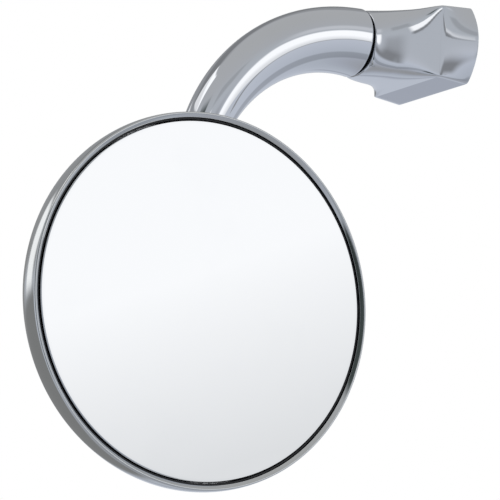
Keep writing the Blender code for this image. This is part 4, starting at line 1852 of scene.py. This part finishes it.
@dataclass
class ClampFittings:
    """What sits in and on the clamp: seal, bush, pad, plate and screws."""

    seal: Point2 = (0.00028, 0.00072)
    seal_r: Point2 = (0.0060, 0.0093)
    ribs: int = 9
    screw_r: float = 0.0020
    thread_depth: float = 0.00022
    pitch: float = 0.0007
    socket_r: float = 0.0010
    socket_depth: float = 0.0014
    set_screw: Point2 = (0.0371, 0.0449)
    dog: Point2 = (0.0010, 0.0359)
    lock_screw: Point2 = (0.0075, 0.0100)

    def build_seal(self) -> bpy.types.Mesh:
        """Thin seal in the gap between arm and neck.

        Returns:
            The closed mesh.
        """
        low, high = self.seal
        inner, outer = self.seal_r
        corners = [
            (inner, low, 0.0),
            (outer, low, 0.0002),
            (outer, high, 0.0002),
            (inner, high, 0.0),
        ]
        return turned("neck_seal", softened(corners), NECK_JOINT, Axis.NECK, 128)

    def block(self, name: str, low: Vector, high: Vector, edge: float) -> bpy.types.Mesh:
        """A block with rounded edges.

        Args:
            name: the mesh's name.
            low: its lowest corner.
            high: its highest corner.
            edge: how wide the rounding is.

        Returns:
            The closed mesh.
        """
        shape = bmesh.new()
        bmesh.ops.create_cube(shape, size=1.0)
        bmesh.ops.scale(shape, verts=shape.verts, vec=high - low)
        bmesh.ops.translate(shape, verts=shape.verts, vec=(high + low) / 2)
        bmesh.ops.bevel(shape, geom=shape.edges[:], offset=edge, segments=3, profile=0.5,
                        affect="EDGES")
        return closed_mesh(name, shape)

    def build_pad(self, finish: Finish) -> bpy.types.Mesh:
        """Rubber pad with upright ribs that bear on the door.

        Args:
            finish: what it is made of.

        Returns:
            The closed mesh.
        """
        low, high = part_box("door_pad")
        low, high = Vector(low), Vector(high)
        base_high = Vector((low.x + 0.00045, high.y, high.z))
        base = self.block("pad", low, base_high, 0.00015)
        tree = ShapeTree("ribs across the pad")
        span = tree.size("First rib", "Vector")
        gap = tree.size("Gap", "Vector")
        line = tree.node(
            "GeometryNodeMeshLine",
            {"mode": "OFFSET"},
            {"Count": tree.size("Ribs", "Int"), "Start Location": span, "Offset": gap},
        )
        rib = tree.node(
            "GeometryNodeMeshCylinder",
            {},
            {"Vertices": 20, "Side Segments": 1, "Radius": tree.size("Rib radius"),
             "Depth": tree.size("Rib length")},
            "Mesh",
        )
        ribs = on_points(tree, line, rib)
        both = tree.node("GeometryNodeJoinGeometry", {}, {"Geometry": ribs})
        tree.tree.links.new(tree.base().socket, both.socket.node.inputs["Geometry"])
        margin = 0.0016
        width = high.y - low.y - 2 * margin
        rib_r = 0.00055
        sizes = {
            "Ribs": self.ribs,
            "First rib": (high.x - rib_r, low.y + margin, (low.z + high.z) / 2),
            "Gap": (0.0, width / (self.ribs - 1), 0.0),
            "Rib radius": rib_r,
            "Rib length": high.z - low.z - 2 * margin,
            "Material": finish.material("pad"),
        }
        return tree.grown("pad", both, base, sizes)

    def build_plate(self) -> bpy.types.Mesh:
        """Sliding plate that the clamp screws push, with a hole for each screw's point.

        Returns:
            The closed mesh.
        """
        low, high = (Vector(corner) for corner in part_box("clamp_plate"))
        holes = []
        for node in ("upper_set_screw", "lower_set_screw"):
            centre = self.middle(node)
            at = Vector((0.0, centre.y, centre.z))
            span = (low.x - 0.001, high.x + 0.001)
            holes.append((Cut.REMOVE, rod("dog hole", 0.0013, span, at, Axis.NECK, 40)))
        return combined(self.block("plate", low, high, 0.0002), holes)

    def middle(self, node: str) -> Vector:
        """Middle of a CAD node's box."""
        low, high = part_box(node)
        return (Vector(low) + Vector(high)) / 2

    def build_screw(self, node: str, span: Point2, axis: Axis, dog: bool) -> bpy.types.Mesh:
        """A headless screw with a six-sided socket in its far end.

        Args:
            node: the CAD node that it stands for.
            span: where its thread starts and ends, from the neck's joint.
            axis: which way it points.
            dog: whether it has a plain point in front of its thread.

        Returns:
            The closed mesh.
        """
        middle = self.middle(node)
        if axis is Axis.NECK:
            at = Vector((NECK_JOINT.x, middle.y, middle.z))
        else:
            at = Vector((middle.x, NECK_JOINT.y, middle.z))
        depth = self.thread_depth
        screw = threaded(node, self.screw_r, depth, self.pitch, span, at, axis)
        corner_r = self.socket_r / math.cos(math.pi / 6)
        socket_span = (span[1] - self.socket_depth, span[1] + 0.001)
        steps = [(Cut.REMOVE, rod("socket", corner_r, socket_span, at, axis, 6))]
        if dog:
            radius, tip = self.dog
            corners = [(0.0, span[0] + 0.0005, 0.0), (radius, span[0] + 0.0005, 0.0),
                       (radius, tip, 0.0003), (0.0, tip, 0.0)]
            point = turned("dog", softened(corners, closed=False), at, axis, 40)
            steps.append((Cut.JOIN, point))
        return combined(screw, steps)

    def make(self) -> None:
        """Build and dress the fittings."""
        rubber, zinc, black = Rubber(), ZincPlate(), BlackSteel()
        add_piece("seal", self.build_seal(), rubber, "clamp", ("neck_seal",))
        add_piece("pad", self.build_pad(rubber), rubber, "clamp", ("door_pad",))
        add_piece("plate", self.build_plate(), zinc, "grip_plate", ("clamp_plate",))
        for name, node, body, dog in (
            ("upper_clamp_screw", "upper_set_screw", "upper_screw", True),
            ("lower_clamp_screw", "lower_set_screw", "lower_screw", True),
        ):
            screw = self.build_screw(node, self.set_screw, Axis.NECK, dog)
            add_piece(name, screw, black, body, (node,))
        screw = self.build_screw("lock_screw", self.lock_screw, Axis.DEPTH, False)
        add_piece("arm_lock_screw", screw, black, "lock_screw", ("lock_screw",))
        dress("arm_bush", Nylon())
        dress("thrust_washer", zinc)
        dress("lock_tip", Brass(self.middle("lock_tip")))


# ---- studio ----


@dataclass(frozen=True)
class Card:
    """A lighter or darker part of the surroundings.

    Its middle, half size and soft edge are in degrees: round from +X towards the front, then up.
    """

    middle: Point2
    half: Point2
    edge: Point2
    tone: Colour


SURROUNDINGS = [
    ((sine + 1) / 2, colour)
    for sine, colour in [
        (-1.00, (0.35, 0.36, 0.38)),
        (-0.77, (0.45, 0.48, 0.55)),
        (-0.64, (0.50, 0.54, 0.61)),
        (-0.34, (0.56, 0.60, 0.68)),
        (-0.09, (0.60, 0.64, 0.72)),
        (0.10, (0.57, 0.60, 0.66)),
        (0.30, (0.52, 0.55, 0.60)),
        (0.50, (0.50, 0.53, 0.57)),
        (0.70, (0.48, 0.495, 0.52)),
        (1.00, (0.48, 0.49, 0.50)),
    ]
]
CARDS = [
    Card((-88.0, 35.0), (50.0, 25.0), (14.0, 10.0), (0.33, 0.34, 0.355)),
    Card((-106.0, -20.0), (36.0, 24.0), (8.0, 8.0), (0.25, 0.255, 0.26)),
    Card((-85.0, 8.0), (12.0, 8.0), (6.0, 6.0), (0.30, 0.305, 0.31)),
    Card((-118.5, 18.0), (10.5, 13.0), (5.0, 6.0), (1.15, 1.17, 1.20)),
    Card((60.0, 33.0), (14.0, 5.0), (10.0, 6.0), (0.64, 0.66, 0.70)),
    Card((-57.0, -20.3), (14.0, 3.3), (10.0, 4.0), (0.42, 0.45, 0.52)),
    Card((102.0, 32.5), (11.0, 4.0), (6.0, 4.0), (0.40, 0.42, 0.45)),
    Card((91.0, 2.0), (11.0, 14.0), (14.0, 14.0), (0.26, 0.27, 0.29)),
    Card((120.0, 18.6), (10.0, 0.9), (4.0, 0.8), (0.26, 0.27, 0.29)),
    Card((120.0, 23.0), (10.0, 3.4), (5.0, 2.0), (1.20, 1.21, 1.23)),
    Card((150.0, 2.0), (13.0, 36.0), (6.0, 10.0), (0.06, 0.075, 0.075)),
    Card((52.0, -2.8), (24.0, 0.9), (3.0, 0.6), (0.33, 0.34, 0.36)),
    Card((-155.0, 47.0), (20.0, 9.0), (4.0, 2.0), (1.27, 1.28, 1.30)),
]
FRONT_BOX = Card((60.5, 10.8), (12.5, 12.8), (5.0, 5.0), (0.95, 0.965, 0.985))
FRONT_BOX_GLOW = (1.25, 1.26, 1.28)
# A slightly darker band runs right round, square to this direction.
BAND_WAY = (-0.251, 0.706, -0.662)
BAND_HALF, BAND_EDGE, BAND_SHADE = 0.15, 0.08, 0.28


class SkyTree(NodeTree):
    """The surroundings' shader, which works with directions."""

    def __init__(self, world: bpy.types.World) -> None:
        """Empty the world's tree and find each direction's parts.

        Args:
            world: the world to shade.
        """
        world.use_nodes = True
        super().__init__(world.node_tree)
        way = self.node("ShaderNodeTexCoord", {}, {}, "Generated")
        self.x, self.y, self.z = (
            self.node("ShaderNodeSeparateXYZ", {}, {0: way}, part) for part in range(3)
        )
        self.up = self.node("ShaderNodeMath", {"operation": "ARCSINE"}, {0: self.z}) * DEGREES

    def across(self, middle: float) -> Link:
        """Find how far round directions are from a middle one.

        Args:
            middle: where the middle is, in degrees round from +X towards the front.

        Returns:
            The angle in degrees.
        """
        cos, sin = math.cos(math.radians(middle)), math.sin(math.radians(middle))
        ahead = self.x * cos - self.y * sin
        aside = self.x * -sin - self.y * cos
        return self.node("ShaderNodeMath", {"operation": "ARCTAN2"}, {0: aside, 1: ahead}) * DEGREES

    def within(self, value: Link, half: float, edge: float) -> Link:
        """Tell where a value is near nothing.

        Args:
            value: what to look at.
            half: how far from nothing it may be, either way.
            edge: how wide the soft edge is.

        Returns:
            1 inside, 0 outside.
        """
        size = self.node("ShaderNodeMath", {"operation": "ABSOLUTE"}, {0: value})
        return self.ranged(size, half + edge / 2, half - edge / 2)

    def share(self, card: Card) -> Link:
        """Tell which directions a card covers.

        Args:
            card: the card.

        Returns:
            1 on the card, 0 away from it.
        """
        level = self.within(self.across(card.middle[0]), card.half[0], card.edge[0])
        upright = self.within(self.up - card.middle[1], card.half[1], card.edge[1])
        return level * upright


@dataclass
class Studio:
    """Camera, pale floor, a soft key light, and the surroundings that the chrome reflects."""

    azimuth: float = -30.28
    elevation: float = -10.41
    roll: float = 3.82
    distance: float = 0.650
    aim: Point2 = (0.031323, 0.061911)
    lens: float = 156.3
    floor_drop: float = 0.115
    floor_r: float = 4.0
    key_power: float = 9.0

    def build_camera(self) -> None:
        """Put the camera in front, a little below and to the left."""
        turn, lift = math.radians(self.azimuth), math.radians(self.elevation)
        back = Vector(
            (math.sin(turn) * math.cos(lift), -math.cos(turn) * math.cos(lift), math.sin(lift))
        )
        level = Vector((math.cos(turn), math.sin(turn), 0.0))
        tilt = math.radians(self.roll)
        right = level * math.cos(tilt) + back.cross(level) * math.sin(tilt)
        up = back.cross(right)
        data = bpy.data.cameras.new("camera")
        data.lens = self.lens
        data.sensor_width = 36.0
        data.clip_start = 0.01
        camera = bpy.data.objects.new("camera", data)
        place = NECK_JOINT + back * self.distance - right * self.aim[0] - up * self.aim[1]
        facing = Matrix((right, up, back)).transposed().to_4x4()
        camera.matrix_world = Matrix.Translation(place) @ facing
        bpy.context.scene.collection.objects.link(camera)
        bpy.context.scene.camera = camera

    def build_floor(self) -> None:
        """A wide, pale, plain floor."""
        height = CAD_BOX[0][2] - self.floor_drop
        shape = bmesh.new()
        bmesh.ops.create_circle(shape, cap_ends=True, segments=96, radius=self.floor_r)
        bmesh.ops.translate(shape, verts=shape.verts, vec=(0.0, 0.0, height))
        mesh = bpy.data.meshes.new("floor")
        shape.to_mesh(mesh)
        shape.free()
        tree = MaterialTree("floor")
        tone = tree.mixed(tree.noise(3.0), (0.86, 0.865, 0.875), (0.84, 0.845, 0.855))
        mesh.materials.append(tree.finished({"Base Color": tone, "Roughness": 0.75}))
        floor = put("floor", mesh)
        floor.visible_glossy = False

    def build_light(self) -> None:
        """One large soft key from above, which polished pieces don't reflect."""
        data = bpy.data.lights.new("key", "AREA")
        data.shape = "DISK"
        data.size = 1.2
        data.energy = self.key_power
        key = bpy.data.objects.new("key", data)
        key.location = NECK_JOINT + Vector((-0.5, -1.0, 1.3))
        key.rotation_euler = (NECK_JOINT - key.location).to_track_quat("-Z", "Y").to_euler()
        key.visible_glossy = False
        bpy.context.scene.collection.objects.link(key)

    def build_sky(self) -> None:
        """Soft surroundings with white boxes and grey cards, seen only by reflection."""
        world = bpy.data.worlds.new("studio")
        bpy.context.scene.world = world
        tree = SkyTree(world)
        height = tree.z * 0.5 + 0.5
        tone = tree.node("ShaderNodeValToRGB", {"stops": SURROUNDINGS}, {0: height})
        for card in CARDS:
            tone = tree.mixed(tree.share(card), tone, card.tone)
        glow = tree.ranged(tree.across(54.0) * (1 / 26) + tree.up * 0.1, 0.3, 1.3, False)
        white = tree.mixed(glow, FRONT_BOX.tone, FRONT_BOX_GLOW)
        tone = tree.mixed(tree.share(FRONT_BOX), tone, white)
        off_band = tree.x * BAND_WAY[0] + tree.y * BAND_WAY[1] + tree.z * BAND_WAY[2]
        band = tree.within(off_band, BAND_HALF, BAND_EDGE)
        tone = tree.mixed(band * BAND_SHADE, tone, (0.0, 0.0, 0.0))
        light = tree.node("ShaderNodeBackground", {}, {"Color": tone, "Strength": 1.0})
        plain = tree.node("ShaderNodeBackground", {}, {"Color": (1.0, 1.0, 1.0, 1.0)})
        seen = tree.node("ShaderNodeLightPath", {}, {}, "Is Camera Ray")
        mixed = tree.node("ShaderNodeMixShader", {}, {0: seen, 1: light, 2: plain})
        tree.node("ShaderNodeOutputWorld", {}, {"Surface": mixed})
        bpy.context.scene.view_settings.view_transform = "Standard"

    def make(self) -> None:
        """Set up the studio."""
        self.build_camera()
        self.build_floor()
        self.build_light()
        self.build_sky()
        LOG.info("studio is set up")


def main() -> None:
    """Build the mirror from the head to the clamp, then the studio."""
    logging.basicConfig(level=logging.INFO, format="%(name)s: %(message)s")
    for assembly in (Head(), BallJoint(), TensionFasteners(), Arm(), ClampBody(), ClampFittings()):
        assembly.make()
        LOG.info("%s is finished", type(assembly).__name__)
    Studio().make()


if __name__ == "__main__":
    main()
